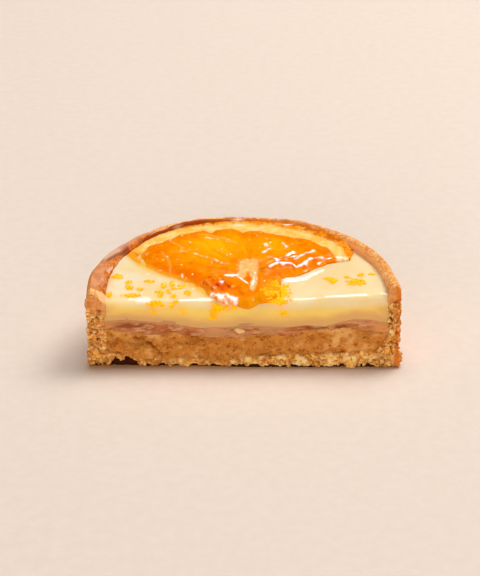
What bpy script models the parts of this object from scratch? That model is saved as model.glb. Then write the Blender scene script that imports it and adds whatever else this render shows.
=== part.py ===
"""Half of a small orange tart, cut just in front of its middle and standing on its base.

A shortcrust case holds three fillings, one on the other: baked almond cream, a thin
layer of fruit compote and a set lemon cream with a rounded edge at the cut. A fan of
candied orange lies on top with its rind against the case, and grated zest is strewn
over the cream.

Lengths are millimetres until a mesh is made, where MM turns them into metres.
The origin is on the table, under the middle of the piece. X runs along the cut,
-Y looks out of the cut face and Z is up.
"""

import math

import bmesh
import bpy
import numpy as np

MM = 0.001

# The whole tart, and where the knife passed
CASE_RADIUS = 39.2
CUT_BEFORE_MIDDLE = 3.0
CUT_Y = -20.5
MIDDLE_Y = CUT_Y + CUT_BEFORE_MIDDLE
END_ANGLE = math.asin(CUT_BEFORE_MIDDLE / CASE_RADIUS)
HALF_CHORD = CASE_RADIUS * math.cos(END_ANGLE)

# The case. Shares run round the wall from its left cut end, 0, to its right one, 1
RIM_HEIGHT = 22.4
WALL_SHARES = (0, 0.09, 0.2, 0.35, 0.5, 0.65, 0.8, 0.92, 1)
WALL_THICKNESS = (4.7, 4.5, 3.1, 2.2, 1.9, 2.3, 2.8, 3.1, 3.1)
RIGHT_END_SPREAD = 0.3
FILLET_SHARES = (0, 0.5, 1)
FILLET_RADII = (2.2, 3.0, 5.0)
RIM_ROUND = 0.9
RIM_ROUND_DEPTH = 1.8
RIM_CROWN = 0.5
RIM_INWARD_FALL = 1.3
RIM_RIGHT_FALL = 1.2
RIM_SAGS = ((0.14, 0.045, 0.65), (0.44, 0.05, -0.35), (0.72, 0.08, -0.6), (0.81, 0.035, -0.45))
LEFT_END_DROP = 2.5
LEFT_END_REACH = 0.075
LEFT_END_FALL = 1.1
RIGHT_END_RISE = 0.3
RIGHT_END_FALL = 0.4

# How the cut left the case: rough, with a chip out of the base's lower edge
CUT_ROUGHNESS = 0.34
CUT_ROUGH_SIZE = 2.1
CUT_ROUGH_REACH = 1.6
CHIP_DEPTH = 2.3
CHIP_START = (-34.4, -32.0)
CHIP_END = (-29.5, -25.5)
FOOT_CRUMBLE = 0.35
FLAT_WITHIN = 0.02
FOOT_SPREAD = 0.8
FOOT_HEIGHT = 4.0
WALL_EDGE_CRUMBLE = 0.25
LEFT_FLAKE = 0.6
LEFT_FLAKE_HEIGHT = 17.4
RIGHT_TEAR = 0.5

# The faces where the layers meet, as heights along the cut
LAYER_X = (-36, -33, -29, -23, -17, -10, -4, 1, 5, 11, 16, 21, 24, 28, 33, 36)
BASE_TOP = (3.6, 3.6, 3.2, 2.5, 2.0, 1.9, 1.9, 2.6, 2.9, 3.2, 3.5, 3.6, 3.8, 4.1, 4.3, 4.3)
ALMOND_TOP = (
    9.6, 10.8, 10.1, 9.6, 9.8, 8.9, 8.7, 8.8, 9.2, 9.2, 10.5, 11.0, 11.2, 11.0, 10.6, 10.2,
)
COMPOTE_TOP = (
    13.2, 13.4, 13.6, 13.2, 12.4, 11.5, 11.5, 12.0, 11.8, 11.7, 12.3, 12.0, 13.0, 14.0, 13.8, 12.9,
)
LAYER_LEVELS_WITHIN = 7.0
ALMOND_ROUGHNESS = 0.3
ALMOND_LUMP = ((-24.5, 4.6), (5.5, 3.2), 0.6)
COMPOTE_SWELL = 0.25
COMPOTE_ROUGHNESS = 0.3
GAP = 0.32

# The lemon cream: its level behind, and the lower one where its rounded front begins
CREAM_LEVEL = 20.5
CREAM_X = (-35, -26, -12, 2, 15, 24, 34)
CREAM_FRONT = (18.1, 18.1, 18.0, 17.9, 18.1, 19.1, 19.8)
CREAM_SAG_REACH = 7.0
CREAM_SWELL = 0.12
CREAM_EDGE_DEPTH = 2.8
CREAM_EDGE_LENGTH = 7.4
CREAM_UNEVENNESS = 0.1

# The candied orange fan, as places on the cream: x, and the distance behind the cut
FAN_RADIUS = 37.0
FAN_LEFT_EDGE = ((-7.4, 2.8), (-10.7, 6.1), (-14.8, 9.6), (-20.6, 12.8), (-26.0, 17.6), (-29.9, 23.2))
FAN_RIGHT_EDGE = (
    (7.4, 0.8), (9.6, 3.2), (9.8, 6.8), (9.6, 10.0), (13.0, 10.8), (17.3, 13.9), (22.6, 17.1),
    (26.6, 19.0), (28.4, 25.0),
)
FAN_TIP_EDGE = (
    (-7.4, 2.8), (-6.4, 1.2), (-4.8, 0.3), (-3.0, 0.1), (-1.4, -0.3), (0.2, -1.0), (1.4, -1.2),
    (2.6, -0.8), (4.0, 0.1), (5.6, 0.5), (7.4, 0.8),
)
FAN_THICKNESS = 1.15
FAN_LEAST_THICKNESS = 0.5
FAN_CORE = (1.5, 12.0)
PITH_WIDTH = 3.6
RIND_WIDTH = 1.3
SEGMENT_EDGES = (8, 36, 54, 90, 113, 130, 159, 185)
SEGMENT_SWELL = 0.5
RIND_SWELL = 0.55
CORE_SWELL = 0.2
FAN_UNEVENNESS = 0.15

# Grated zest in flat lumps: x, distance behind the cut, half its width and half its depth
ZEST_HALF_HEIGHT = 0.5
ZEST = (
    (-31.7, 11.4, 1.1, 1.0), (-28.9, 8.7, 0.9, 0.5), (-28.5, 6.4, 0.9, 0.6), (-25.5, 5.9, 0.8, 0.5),
    (-27.9, 3.6, 1.9, 0.5), (-33.2, 3.8, 0.7, 0.6), (-24.4, 9.2, 0.7, 0.5), (-22.7, 9.0, 0.7, 0.5),
    (-19.9, 7.3, 0.7, 0.8), (-17.6, 7.6, 0.7, 0.7), (-15.6, 6.6, 0.7, 0.6), (-17.4, 5.6, 0.8, 0.5),
    (-20.7, 4.8, 0.8, 0.5), (-18.5, 5.0, 0.5, 0.7), (-20.7, 3.3, 0.7, 0.5), (-17.2, 3.5, 0.7, 0.5),
    (-14.2, 4.4, 0.7, 0.7), (-21.7, -0.1, 1.6, 0.9), (-16.9, 0.8, 0.8, 0.4), (-17.7, -0.5, 0.7, 0.5),
    (-22.5, -2.5, 0.5, 0.4), (-6.6, -1.1, 1.2, 0.7), (-7.6, -2.6, 0.9, 0.8), (10.4, -2.0, 0.9, 0.4),
    (10.1, -0.4, 1.2, 0.6), (11.7, 2.6, 1.1, 1.3), (11.9, 5.7, 1.1, 1.3), (23.0, 8.8, 1.0, 1.1),
    (28.7, 7.7, 1.9, 1.4), (30.4, 11.2, 0.8, 0.5), (26.6, 10.2, 0.6, 0.4),
)

# Triangles spent on each node
CASE_TRIANGLES = 5400
ALMOND_TRIANGLES = 1500
COMPOTE_TRIANGLES = 1000
CREAM_TRIANGLES = 1400
ORANGE_TRIANGLES = 2700

# Colour and roughness of each finish
BROWNED = ((0.60, 0.30, 0.10, 1), 0.60)
ALMOND = ((0.55, 0.29, 0.10, 1), 0.70)
COMPOTE = ((0.52, 0.27, 0.15, 1), 0.40)
LEMON = ((0.90, 0.72, 0.36, 1), 0.25)
ORANGE = ((0.95, 0.30, 0.01, 1), 0.18)


def smooth(value, low, high):
    """0 below low, 1 above high, and an S curve between."""
    share = np.clip((value - low) / (high - low), 0, 1)
    return share * share * (3 - 2 * share)


def noise(x, y, z, size, seed):
    """Smooth random values from -1 to 1 on a lattice of the given cell size."""
    place = np.stack(np.broadcast_arrays(x, y, z), -1) / size
    cell = np.floor(place)
    share = place - cell
    share = share * share * (3 - 2 * share)
    total = 0.0
    for corner in np.ndindex(2, 2, 2):
        mixed = (cell + corner) @ (12.9898, 78.233, 37.719) + seed
        value = 2 * (np.sin(mixed) * 43758.5453 % 1) - 1
        weight = np.prod(np.where(corner, share, 1 - share), axis=-1)
        total = total + weight * value
    return total


def crumb(x, y, z, size, seed):
    """Lumpy pastry relief: two octaves of noise."""
    return noise(x, y, z, size, seed) + 0.5 * noise(x, y, z, size / 2, seed + 1)


def outline(share):
    """A point of the case's outer D, from its left cut end round the back to its right
    one, which spreads a little."""
    angle = math.pi + END_ANGLE - share * (math.pi + 2 * END_ANGLE)
    spread = RIGHT_END_SPREAD * smooth(share, 0.93, 1)
    return CASE_RADIUS * np.cos(angle) + spread, MIDDLE_Y + CASE_RADIUS * np.sin(angle)


def ring(share, scale):
    """The same point on the D drawn smaller about the middle of the cut."""
    x, y = outline(share)
    return x * scale, CUT_Y + (y - CUT_Y) * scale


def wall_thickness(share):
    return np.interp(share, WALL_SHARES, WALL_THICKNESS)


def fillet_radius(share):
    return np.interp(share, FILLET_SHARES, FILLET_RADII)


def rim_height(share):
    """The rim is wavy, and it has sunk at its left cut end and stands up at its right."""
    wave = 0.22 * np.sin(share * 23) + 0.12 * np.sin(share * 51 + 1)
    for place, reach, depth in RIM_SAGS:
        wave = wave - depth * np.exp(-(((share - place) / reach) ** 2))
    ends = RIGHT_END_RISE * smooth(share, 0.92, 1)
    ends = ends - LEFT_END_DROP * (1 - smooth(share, 0, LEFT_END_REACH))
    return RIM_HEIGHT + wave + ends


def rim_fall(share):
    """How much lower the rim's inner edge is than its outer one."""
    ends = LEFT_END_FALL * (1 - smooth(share, 0, 0.08)) + RIGHT_END_FALL * smooth(share, 0.94, 1)
    left = RIM_INWARD_FALL * (1 - smooth(share, 0.22, 0.3))
    return left + RIM_RIGHT_FALL * smooth(share, 0.58, 0.68) + ends


def inner_scale(share, above_base):
    """Scale of the D at which the case's inner face stands, at a height above the base."""
    radius = fillet_radius(share)
    sunk = np.clip(1 - above_base / radius, 0, 1)
    fillet = radius * (1 - np.sqrt(1 - sunk**2))
    return 1 - (wall_thickness(share) + fillet) / CASE_RADIUS


def fade_from_cut(y, reach):
    return np.exp(-np.maximum(y - CUT_Y, 0) / reach)


def face_height(x, heights, y):
    """Height of a face between two layers: as cut at the front, and level behind."""
    cut = np.interp(x, LAYER_X, heights)
    level = np.mean(heights)
    return level + (cut - level) * fade_from_cut(y, LAYER_LEVELS_WITHIN)


# --- making meshes -------------------------------------------------------------


def divided_box(name, cuts):
    """A unit cube from 0 to 1, with its sides divided into a grid."""
    bm = bmesh.new()
    bmesh.ops.create_cube(bm, size=1.0)
    bmesh.ops.translate(bm, verts=bm.verts, vec=(0.5, 0.5, 0.5))
    for axis, count in enumerate(cuts):
        along = [e for e in bm.edges if abs((e.verts[0].co - e.verts[1].co)[axis]) > 0.5]
        bmesh.ops.subdivide_edges(bm, edges=along, cuts=count - 1, use_grid_fill=True)
    mesh = bpy.data.meshes.new(name)
    bm.to_mesh(mesh)
    bm.free()
    return mesh


def bend(mesh, shape):
    """Moves each point of the unit cube to shape(u, v, w), then closes what has met."""
    unit = np.empty(len(mesh.vertices) * 3, np.float32)
    mesh.vertices.foreach_get("co", unit)
    u, v, w = unit.reshape(-1, 3).astype(float).T
    placed = np.stack(shape(u, v, w), -1) * MM
    mesh.vertices.foreach_set("co", placed.astype(np.float32).ravel())
    bm = bmesh.new()
    bm.from_mesh(mesh)
    bmesh.ops.remove_doubles(bm, verts=bm.verts, dist=0.01 * MM)
    bmesh.ops.triangulate(bm, faces=bm.faces)
    bmesh.ops.recalc_face_normals(bm, faces=bm.faces)
    bm.to_mesh(mesh)
    bm.free()


def material(name, finish):
    made = bpy.data.materials.new(name)
    made.use_nodes = True
    surface = made.node_tree.nodes["Principled BSDF"]
    surface.inputs["Base Color"].default_value = finish[0]
    surface.inputs["Roughness"].default_value = finish[1]
    surface.inputs["Metallic"].default_value = 0.0
    return made


def make_layer(name, cuts, shape, finish, triangles, collection):
    """A node: a divided box bent to its shape, and thinned out to its triangles, which
    are spent where its form needs them."""
    mesh = divided_box(name, cuts)
    bend(mesh, shape)
    mesh.materials.append(material(name, finish))
    made = bpy.data.objects.new(name, mesh)
    collection.objects.link(made)
    thin_out = made.modifiers.new("thin_out", "DECIMATE")
    thin_out.ratio = triangles / len(mesh.polygons)
    return made


def apply_modifiers(made):
    """Bakes the object's modifiers into its mesh."""
    bpy.context.view_layer.update()
    graph = bpy.context.evaluated_depsgraph_get()
    baked = bpy.data.meshes.new_from_object(made.evaluated_get(graph))
    made.modifiers.clear()
    made.data = baked


# --- the case --------------------------------------------------------------------


def case_shape(u, v, w):
    """u runs round the wall, v from the middle of the base out and up to the rim,
    and w through the pastry, from its outer face to its inner one."""
    height = rim_height(u)
    corner, fillet_start, fillet_end = 0.5, 0.45, 0.55
    outer_scale = np.clip(v / corner, 0, 1)
    outer_z = np.clip((v - corner) / (1 - corner), 0, 1) * height
    rounding = smooth(outer_z, height - RIM_ROUND_DEPTH, height) ** 2
    outer_scale = outer_scale - RIM_ROUND / CASE_RADIUS * rounding

    radius = fillet_radius(u)
    turn = np.clip((v - fillet_start) / (fillet_end - fillet_start), 0, 1) * math.pi / 2
    flat = inner_scale(u, RIM_HEIGHT) - radius / CASE_RADIUS
    inner = np.clip(v / fillet_start, 0, 1) * flat + radius / CASE_RADIUS * np.sin(turn)
    base = face_height(ring(u, inner)[0], BASE_TOP, ring(u, inner)[1])
    climb = np.clip((v - fillet_end) / (1 - fillet_end), 0, 1)
    inner_height = height - rim_fall(u)
    inner_z = base + radius * (1 - np.cos(turn)) + climb * (inner_height - base - radius)

    scale = outer_scale * (1 - w) + inner * w
    z = outer_z * (1 - w) + inner_z * w
    z = z + RIM_CROWN * smooth(v, 0.97, 1) * (1 - (2 * w - 1) ** 2)
    x, y = ring(u, scale)
    return crumble_case(x, y, z, w)


def crumble_case(x, y, z, w):
    """The knife left the cut face rough, chipped the base and tore both wall ends. The
    rest of the underside is flat."""
    near = fade_from_cut(y, CUT_ROUGH_REACH)
    outside = 1 - w
    y = y + near * CUT_ROUGHNESS * crumb(x, 0, z, CUT_ROUGH_SIZE, 11)
    chip = CHIP_DEPTH * smooth(x, *CHIP_START) * (1 - smooth(x, *CHIP_END))
    chip = chip + FOOT_CRUMBLE * (1 + noise(x, 0, 0, 2.6, 3))
    low = 1 - smooth(z, 0, FOOT_HEIGHT)
    y = y - near * low * FOOT_SPREAD * smooth(x, -15, 5)
    z = z + near * outside * low * chip
    left_flake = np.exp(-((z - LEFT_FLAKE_HEIGHT) ** 2)) * smooth(-x, 37, 39)
    right_tear = smooth(z, 19.5, 21.5) * smooth(x, 36.5, 39)
    x = x + near * outside * (RIGHT_TEAR * right_tear - LEFT_FLAKE * left_flake)
    side = smooth(np.abs(x), 30, 36) * np.sign(x)
    x = x + near * outside * side * WALL_EDGE_CRUMBLE * noise(0, 0, z, 1.9, 5)
    return x, y, np.where(np.abs(z) < FLAT_WITHIN, 0, z)


# --- the fillings ----------------------------------------------------------------


def filling_plan(u, s, above_base):
    """Plan of a filling: u runs along the cut, s from the cut back to the wall."""
    back_x, back_y = ring(u, inner_scale(u, above_base) - GAP / CASE_RADIUS)
    left_scale, right_scale = (inner_scale(end, above_base) for end in (0 * u, 0 * u + 1))
    left = GAP - HALF_CHORD * left_scale
    right = (HALF_CHORD + RIGHT_END_SPREAD) * right_scale - GAP
    front_x = left + (right - left) * u
    return front_x + (back_x - front_x) * s, CUT_Y + (back_y - CUT_Y) * s


def almond_shape(u, v, w):
    """From just above the case's base up to the compote, with a lump at its left."""
    rough_x, rough_y = filling_plan(u, v, RIM_HEIGHT)
    low = face_height(rough_x, BASE_TOP, rough_y)
    top = face_height(rough_x, ALMOND_TOP, rough_y) - GAP / 2
    above_base = GAP + (top - low - GAP) * w
    x, y = filling_plan(u, v, above_base)
    z = low + above_base
    near = fade_from_cut(y, CUT_ROUGH_REACH)
    (lump_x, lump_z), (half_width, half_height), bulge = ALMOND_LUMP
    lump = np.exp(-(((x - lump_x) / half_width) ** 2) - ((z - lump_z) / half_height) ** 2)
    y = y + near * (ALMOND_ROUGHNESS * crumb(x, 0, z, 2.8, 21) - bulge * lump)
    y = y - near * FOOT_SPREAD * (1 - smooth(z, 0, FOOT_HEIGHT)) * smooth(x, -15, 5)
    return x, y, z


def compote_shape(u, v, w):
    """A thin layer, pushed out a little between the almond cream and the lemon cream."""
    x, y = filling_plan(u, v, RIM_HEIGHT)
    low = face_height(x, ALMOND_TOP, y) + GAP / 2
    top = face_height(x, COMPOTE_TOP, y) - GAP / 2
    z = low + (top - low) * w
    near = fade_from_cut(y, CUT_ROUGH_REACH)
    y = y - near * (COMPOTE_SWELL + COMPOTE_ROUGHNESS * noise(x / 2.5, 0, z, 1.3, 31))
    return x, y, z


def cream_top(x, y):
    """Height of the set cream: level behind, sunk towards the cut, more so at its left."""
    behind = np.maximum(y - CUT_Y - CREAM_EDGE_DEPTH, 0)
    front = np.interp(x, CREAM_X, CREAM_FRONT)
    unevenness = CREAM_UNEVENNESS * noise(x, y, 0, 9.0, 41)
    return CREAM_LEVEL + (front - CREAM_LEVEL) * np.exp(-behind / CREAM_SAG_REACH) + unevenness


def on_cream(x, behind, lift):
    """A point on the cream, raised by lift along its surface. A distance behind the cut
    that is small or below 0 goes over the rounded front, a quarter of an ellipse that
    ends where the compote begins."""
    flat_start = CREAM_EDGE_DEPTH - CREAM_SWELL
    bent = np.clip((flat_start - behind) / CREAM_EDGE_LENGTH, 0, 1) * math.pi / 2
    back = np.maximum(behind - flat_start, 0)
    top = cream_top(x, CUT_Y + np.maximum(behind, flat_start))
    height = top - face_height(x, COMPOTE_TOP, CUT_Y) - GAP / 2
    lean = np.arctan2(np.sin(bent) / CREAM_EDGE_DEPTH, np.cos(bent) / height)
    y = CUT_Y - CREAM_SWELL + CREAM_EDGE_DEPTH * (1 - np.sin(bent)) + back
    z = top - height * (1 - np.cos(bent))
    return x, y - lift * np.sin(lean), z + lift * np.cos(lean)


def cream_shape(u, v, w):
    """The whole front is round: it turns over from upright, on the compote, to level."""
    x, y = filling_plan(u, v, RIM_HEIGHT)
    low = face_height(x, COMPOTE_TOP, y) + GAP / 2
    bent = (1 - w) * math.pi / 2
    front = CUT_Y - CREAM_SWELL + CREAM_EDGE_DEPTH * (1 - np.sin(bent))
    back = np.maximum(filling_plan(u, np.ones_like(v), RIM_HEIGHT)[1], front)
    y = front + (back - front) * v
    return x, y, low + (cream_top(x, y) - low) * np.cos(bent)


def make_zest(collection):
    """A flat lump for each clump of zest, sunk by half into the cream and leaning as the
    cream does there."""
    for number, (x, behind, half_width, half_depth) in enumerate(ZEST):
        bm = bmesh.new()
        bmesh.ops.create_icosphere(bm, subdivisions=1, radius=1.0)
        mesh = bpy.data.meshes.new(f"zest_{number:02d}")
        bm.to_mesh(mesh)
        bm.free()
        made = bpy.data.objects.new(mesh.name, mesh)
        _, y, z = on_cream(np.float64(x), behind, 0.0)
        _, raised_y, raised_z = on_cream(np.float64(x), behind, 1.0)
        made.location = (x * MM, y * MM, z * MM)
        made.rotation_euler = (math.atan2(y - raised_y, raised_z - z), 0, 0)
        made.scale = (half_width * MM, half_depth * MM, ZEST_HALF_HEIGHT * MM)
        collection.objects.link(made)


def strew_zest(cream):
    """Fuses the lumps of zest to the cream."""
    apply_modifiers(cream)
    zest = bpy.data.collections.new("zest")
    bpy.context.scene.collection.children.link(zest)
    make_zest(zest)
    join = cream.modifiers.new("zest", "BOOLEAN")
    join.operation = "UNION"
    join.operand_type = "COLLECTION"
    join.collection = zest
    join.solver = "EXACT"
    apply_modifiers(cream)
    for grain in list(zest.objects):
        bpy.data.objects.remove(grain)
    bpy.data.collections.remove(zest)


# --- the candied orange ------------------------------------------------------------


def along(points, share):
    """A place on a line through the points, all its stretches taking equal shares."""
    steps = np.linspace(0, 1, len(points))
    return np.stack([np.interp(share, steps, values) for values in zip(*points)])


def fan_plan(u, v):
    """u runs across the fan from left to right, v from its tip to its rind. The plan is
    filled in between four edges: two straight-ish sides, the uneven tip and the rind."""
    corners = [np.array(edge[end]) for edge in (FAN_LEFT_EDGE, FAN_RIGHT_EDGE) for end in (0, -1)]
    middle = np.array((0, CUT_BEFORE_MIDDLE))
    start, end = (np.arctan2(*(corner - middle)[::-1]) for corner in (corners[1], corners[3]))
    angle = start + (end - start) * u
    rind = middle[:, None] + FAN_RADIUS * np.stack((np.cos(angle), np.sin(angle)))
    tip = along(FAN_TIP_EDGE, u)
    sides = along(FAN_LEFT_EDGE, v) * (1 - u) + along(FAN_RIGHT_EDGE, v) * u
    straight = along((corners[0], corners[2]), u) * (1 - v) + along((corners[1], corners[3]), u) * v
    return sides + tip * (1 - v) + rind * v - straight


def fan_relief(x, y):
    """Each segment swells between its skins, and the pith and rind stand at the back."""
    angle = np.degrees(np.arctan2(y - FAN_CORE[1], x - FAN_CORE[0])) % 360
    angle = np.where(angle > 270, angle - 360, angle)
    place = np.interp(angle, SEGMENT_EDGES, range(len(SEGMENT_EDGES)))
    swell = np.abs(np.sin(math.pi * place)) ** 0.6
    away = np.hypot(x - FAN_CORE[0], y - FAN_CORE[1])
    from_rind = FAN_RADIUS - np.hypot(x, y - CUT_BEFORE_MIDDLE)
    flesh = smooth(away, 2, 7) * smooth(from_rind, PITH_WIDTH, PITH_WIDTH + 3)
    rind = 1 - smooth(from_rind, RIND_WIDTH, PITH_WIDTH)
    core = 1 - smooth(away, 2, 3.5)
    relief = SEGMENT_SWELL * flesh * swell + RIND_SWELL * rind + CORE_SWELL * core
    return relief + FAN_UNEVENNESS * noise(x, y, 0, 2.2, 51)


def inside_case(x, behind):
    """Draws a place in to the case's inner wall where it would pass it."""
    angle = np.arctan2(behind - CUT_BEFORE_MIDDLE, x)
    angle = np.where(angle < -math.pi / 2, angle + 2 * math.pi, angle)
    share = np.clip((math.pi + END_ANGLE - angle) / (math.pi + 2 * END_ANGLE), 0, 1)
    room = inner_scale(share, RIM_HEIGHT) * CASE_RADIUS - GAP
    away = np.hypot(x, behind - CUT_BEFORE_MIDDLE)
    keep = np.minimum(1, room / away)
    return x * keep, CUT_BEFORE_MIDDLE + (behind - CUT_BEFORE_MIDDLE) * keep


def orange_shape(u, v, w):
    """The fan thins out towards its tip and its sides, more so at its left one, and lies
    on the cream."""
    x, behind = fan_plan(u, v)
    left = smooth(u, 0, 0.2)
    right = 0.25 + 0.75 * smooth(1 - u, 0, 0.08)
    tip = 0.4 + 0.6 * smooth(v, 0, 0.16)
    thickness = (FAN_THICKNESS + fan_relief(x, behind)) * left * right * tip
    thickness = np.maximum(thickness - GAP, FAN_LEAST_THICKNESS)
    x, behind = inside_case(x, behind)
    return on_cream(x, behind, GAP + thickness * w)


# --- the tart ----------------------------------------------------------------------


def main():
    for old in list(bpy.data.objects):
        bpy.data.objects.remove(old)
    tart = bpy.data.collections.new("orange_tart_half")
    bpy.context.scene.collection.children.link(tart)
    make_layer("crust", (88, 84, 6), case_shape, BROWNED, CASE_TRIANGLES, tart)
    make_layer("almond_filling", (60, 10, 9), almond_shape, ALMOND, ALMOND_TRIANGLES, tart)
    make_layer("compote", (60, 8, 3), compote_shape, COMPOTE, COMPOTE_TRIANGLES, tart)
    cream = make_layer("cream", (46, 16, 9), cream_shape, LEMON, CREAM_TRIANGLES, tart)
    strew_zest(cream)
    make_layer("orange_slice", (56, 44, 3), orange_shape, ORANGE, ORANGE_TRIANGLES, tart)


main()
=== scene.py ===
"""Looks of the cut orange tart half: crumbly case, almond cream, compote, lemon cream,
candied orange fan and zest.

Lengths are millimetres in the tart's own frame until a mesh is written, where MM turns
them into metres. X runs along the cut, -Y looks out of the cut face and Z is up.
"""

import math

import bmesh
import bpy
import numpy as np
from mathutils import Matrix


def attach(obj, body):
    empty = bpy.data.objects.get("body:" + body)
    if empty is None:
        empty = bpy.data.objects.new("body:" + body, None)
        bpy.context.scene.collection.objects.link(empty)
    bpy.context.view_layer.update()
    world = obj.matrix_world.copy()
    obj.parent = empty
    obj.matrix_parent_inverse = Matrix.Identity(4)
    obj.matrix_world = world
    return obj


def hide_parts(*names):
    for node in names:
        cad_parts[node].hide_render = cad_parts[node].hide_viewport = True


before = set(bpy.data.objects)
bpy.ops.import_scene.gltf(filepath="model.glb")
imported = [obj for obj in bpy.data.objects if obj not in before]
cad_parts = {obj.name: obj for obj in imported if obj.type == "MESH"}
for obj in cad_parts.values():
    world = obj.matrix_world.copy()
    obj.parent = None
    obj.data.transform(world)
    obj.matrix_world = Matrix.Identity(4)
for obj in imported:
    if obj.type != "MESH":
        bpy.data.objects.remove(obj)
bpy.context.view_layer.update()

MM = 0.001

# The whole tart, and where the knife passed
CASE_RADIUS = 39.2
CUT_BEFORE_MIDDLE = 3.0
CUT_Y = -20.5
MIDDLE_Y = CUT_Y + CUT_BEFORE_MIDDLE
END_ANGLE = math.asin(CUT_BEFORE_MIDDLE / CASE_RADIUS)
HALF_CHORD = CASE_RADIUS * math.cos(END_ANGLE)

# The case. Shares run round the wall from its left cut end, 0, to its right one, 1
RIM_HEIGHT = 22.4
WALL_SHARES = (0, 0.09, 0.2, 0.35, 0.5, 0.65, 0.8, 0.92, 1)
WALL_THICKNESS = (4.7, 4.5, 3.1, 2.2, 1.9, 2.3, 2.8, 3.1, 3.1)
RIGHT_END_SPREAD = 0.6
FILLET_SHARES = (0, 0.5, 1)
FILLET_RADII = (2.2, 3.0, 5.0)
RIM_ROUND = 0.9
RIM_ROUND_DEPTH = 1.8
RIM_CROWN = 0.5
RIM_INWARD_FALL = 1.3
RIM_RIGHT_FALL = 1.2
# Waves all round the rim, as height, frequency and phase, and single dips and swells, as a
# share round the wall, a reach in shares and a depth
RIM_WAVES = ((0.22, 23, 0), (0.12, 51, 1))
RIM_SAGS = ((0.14, 0.045, 0.65), (0.44, 0.05, -0.35), (0.72, 0.08, -0.6), (0.81, 0.035, -0.45))
LEFT_END_DROP = 2.5
LEFT_END_REACH = 0.075
LEFT_END_FALL = 1.1
RIGHT_END_RISE = 0.3
RIGHT_END_FALL = 0.4
# Where its profile turns, as shares of the way: outside at the corner, inside in the fillet
CORNER = 0.5
FILLET_START = 0.45
FILLET_END = 0.55

# The faces where the layers meet, as heights along the cut
LAYER_X = (-36, -33, -29, -23, -17, -10, -4, 1, 5, 11, 16, 21, 24, 28, 33, 36)
BASE_TOP = (3.6, 3.6, 3.2, 2.5, 2.0, 1.9, 1.9, 2.6, 2.9, 3.2, 3.5, 3.6, 3.8, 4.1, 4.3, 4.3)
ALMOND_TOP = (
    9.6, 10.8, 10.1, 9.6, 9.8, 8.9, 8.7, 8.8, 9.2, 9.2, 10.5, 11.0, 11.2, 11.0, 10.6, 10.2)
COMPOTE_TOP = (
    13.2, 13.4, 13.6, 13.2, 12.4, 11.5, 11.5, 12.0, 11.8, 11.7, 12.3, 12.0, 13.0, 14.0, 13.8, 12.9)
LAYER_LEVELS_WITHIN = 7.0
LAP = 0.35

# What the knife did: a chip out of the base at the left, a foot pressed out of the cut, and
# an undercut below it, with its depth along the base and at the chip
CHIP_HEIGHT = 2.3
CHIP_START = (-34.4, -32.0)
CHIP_END = (-29.5, -25.5)
FOOT_SPREAD = 0.8
FOOT_START = (-15, 5)
FOOT_HEIGHT = 4.0
CUT_REACH = 1.2
FOOT_GAPS = 0.25
UNDERCUT_DEPTHS = (0.35, 0.6)
UNDERCUT_HEIGHT = 0.6
UNDERCUT_WALL_X = (32.5, 34.5)

# The lemon cream: its level behind, and the lower one where its rounded front begins
CREAM_LEVEL = 20.5
CREAM_X = (-35, -26, -12, 2, 15, 24, 34)
CREAM_FRONT = (18.1, 18.1, 18.0, 17.9, 18.1, 19.1, 19.8)
CREAM_SAG_REACH = 7.0
CREAM_SWELL = 0.12
CREAM_EDGE_DEPTH = 2.8
CREAM_EDGE_LENGTH = 7.4
# Its white glints, painted on as highlights, as x and a slanting height that falls
# steadily over the rounded edge: strokes with their half widths
SLANT = 0.51
CREAM_STROKES = (
    (((-28.4, 19.15), (-26.5, 19.1)), 0.2),
    (((-25.8, 18.95), (-23.9, 18.75)), 1.0),
    (((-15.6, 18.8), (-10.5, 19.0)), 0.22),
    (((-10.5, 19.0), (-8.6, 19.15), (-6.8, 19.3)), 0.55),
    (((13.0, 19.25), (18.2, 19.35)), 0.2),
    (((20.9, 19.95), (24.0, 20.1)), 0.3),
    (((24.0, 20.1), (30.9, 20.55)), 0.35),
    (((34.9, 20.9), (36.2, 20.95)), 0.25),
)
# And small round ones: x, distance behind the cut and half size
CREAM_SPARKS = (
    (-24.2, 12.5, 0.4), (-12.4, 6.2, 0.35), (-23.0, 9.8, 0.3), (-25.5, 4.4, 0.3),
    (-30.6, 9.3, 0.4), (-29.7, 11.6, 0.3), (-14.0, 8.4, 0.25), (-19.0, 2.2, 0.25),
)
# The thin syrup that has run out on it at the right, with its half width along x; its
# highlight is painted on in white
POOL = ((10.9, 10.0), (13.5, 9.9), (15.8, 10.6), (18.0, 12.4), (20.6, 14.3))
POOL_WIDTHS = ((10.0, 11.2, 13.5, 15.8, 18.0, 20.6, 22.4), (0.05, 0.9, 1.0, 1.2, 1.0, 0.4, 0.05))
POOL_HEIGHT = 0.3

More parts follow.
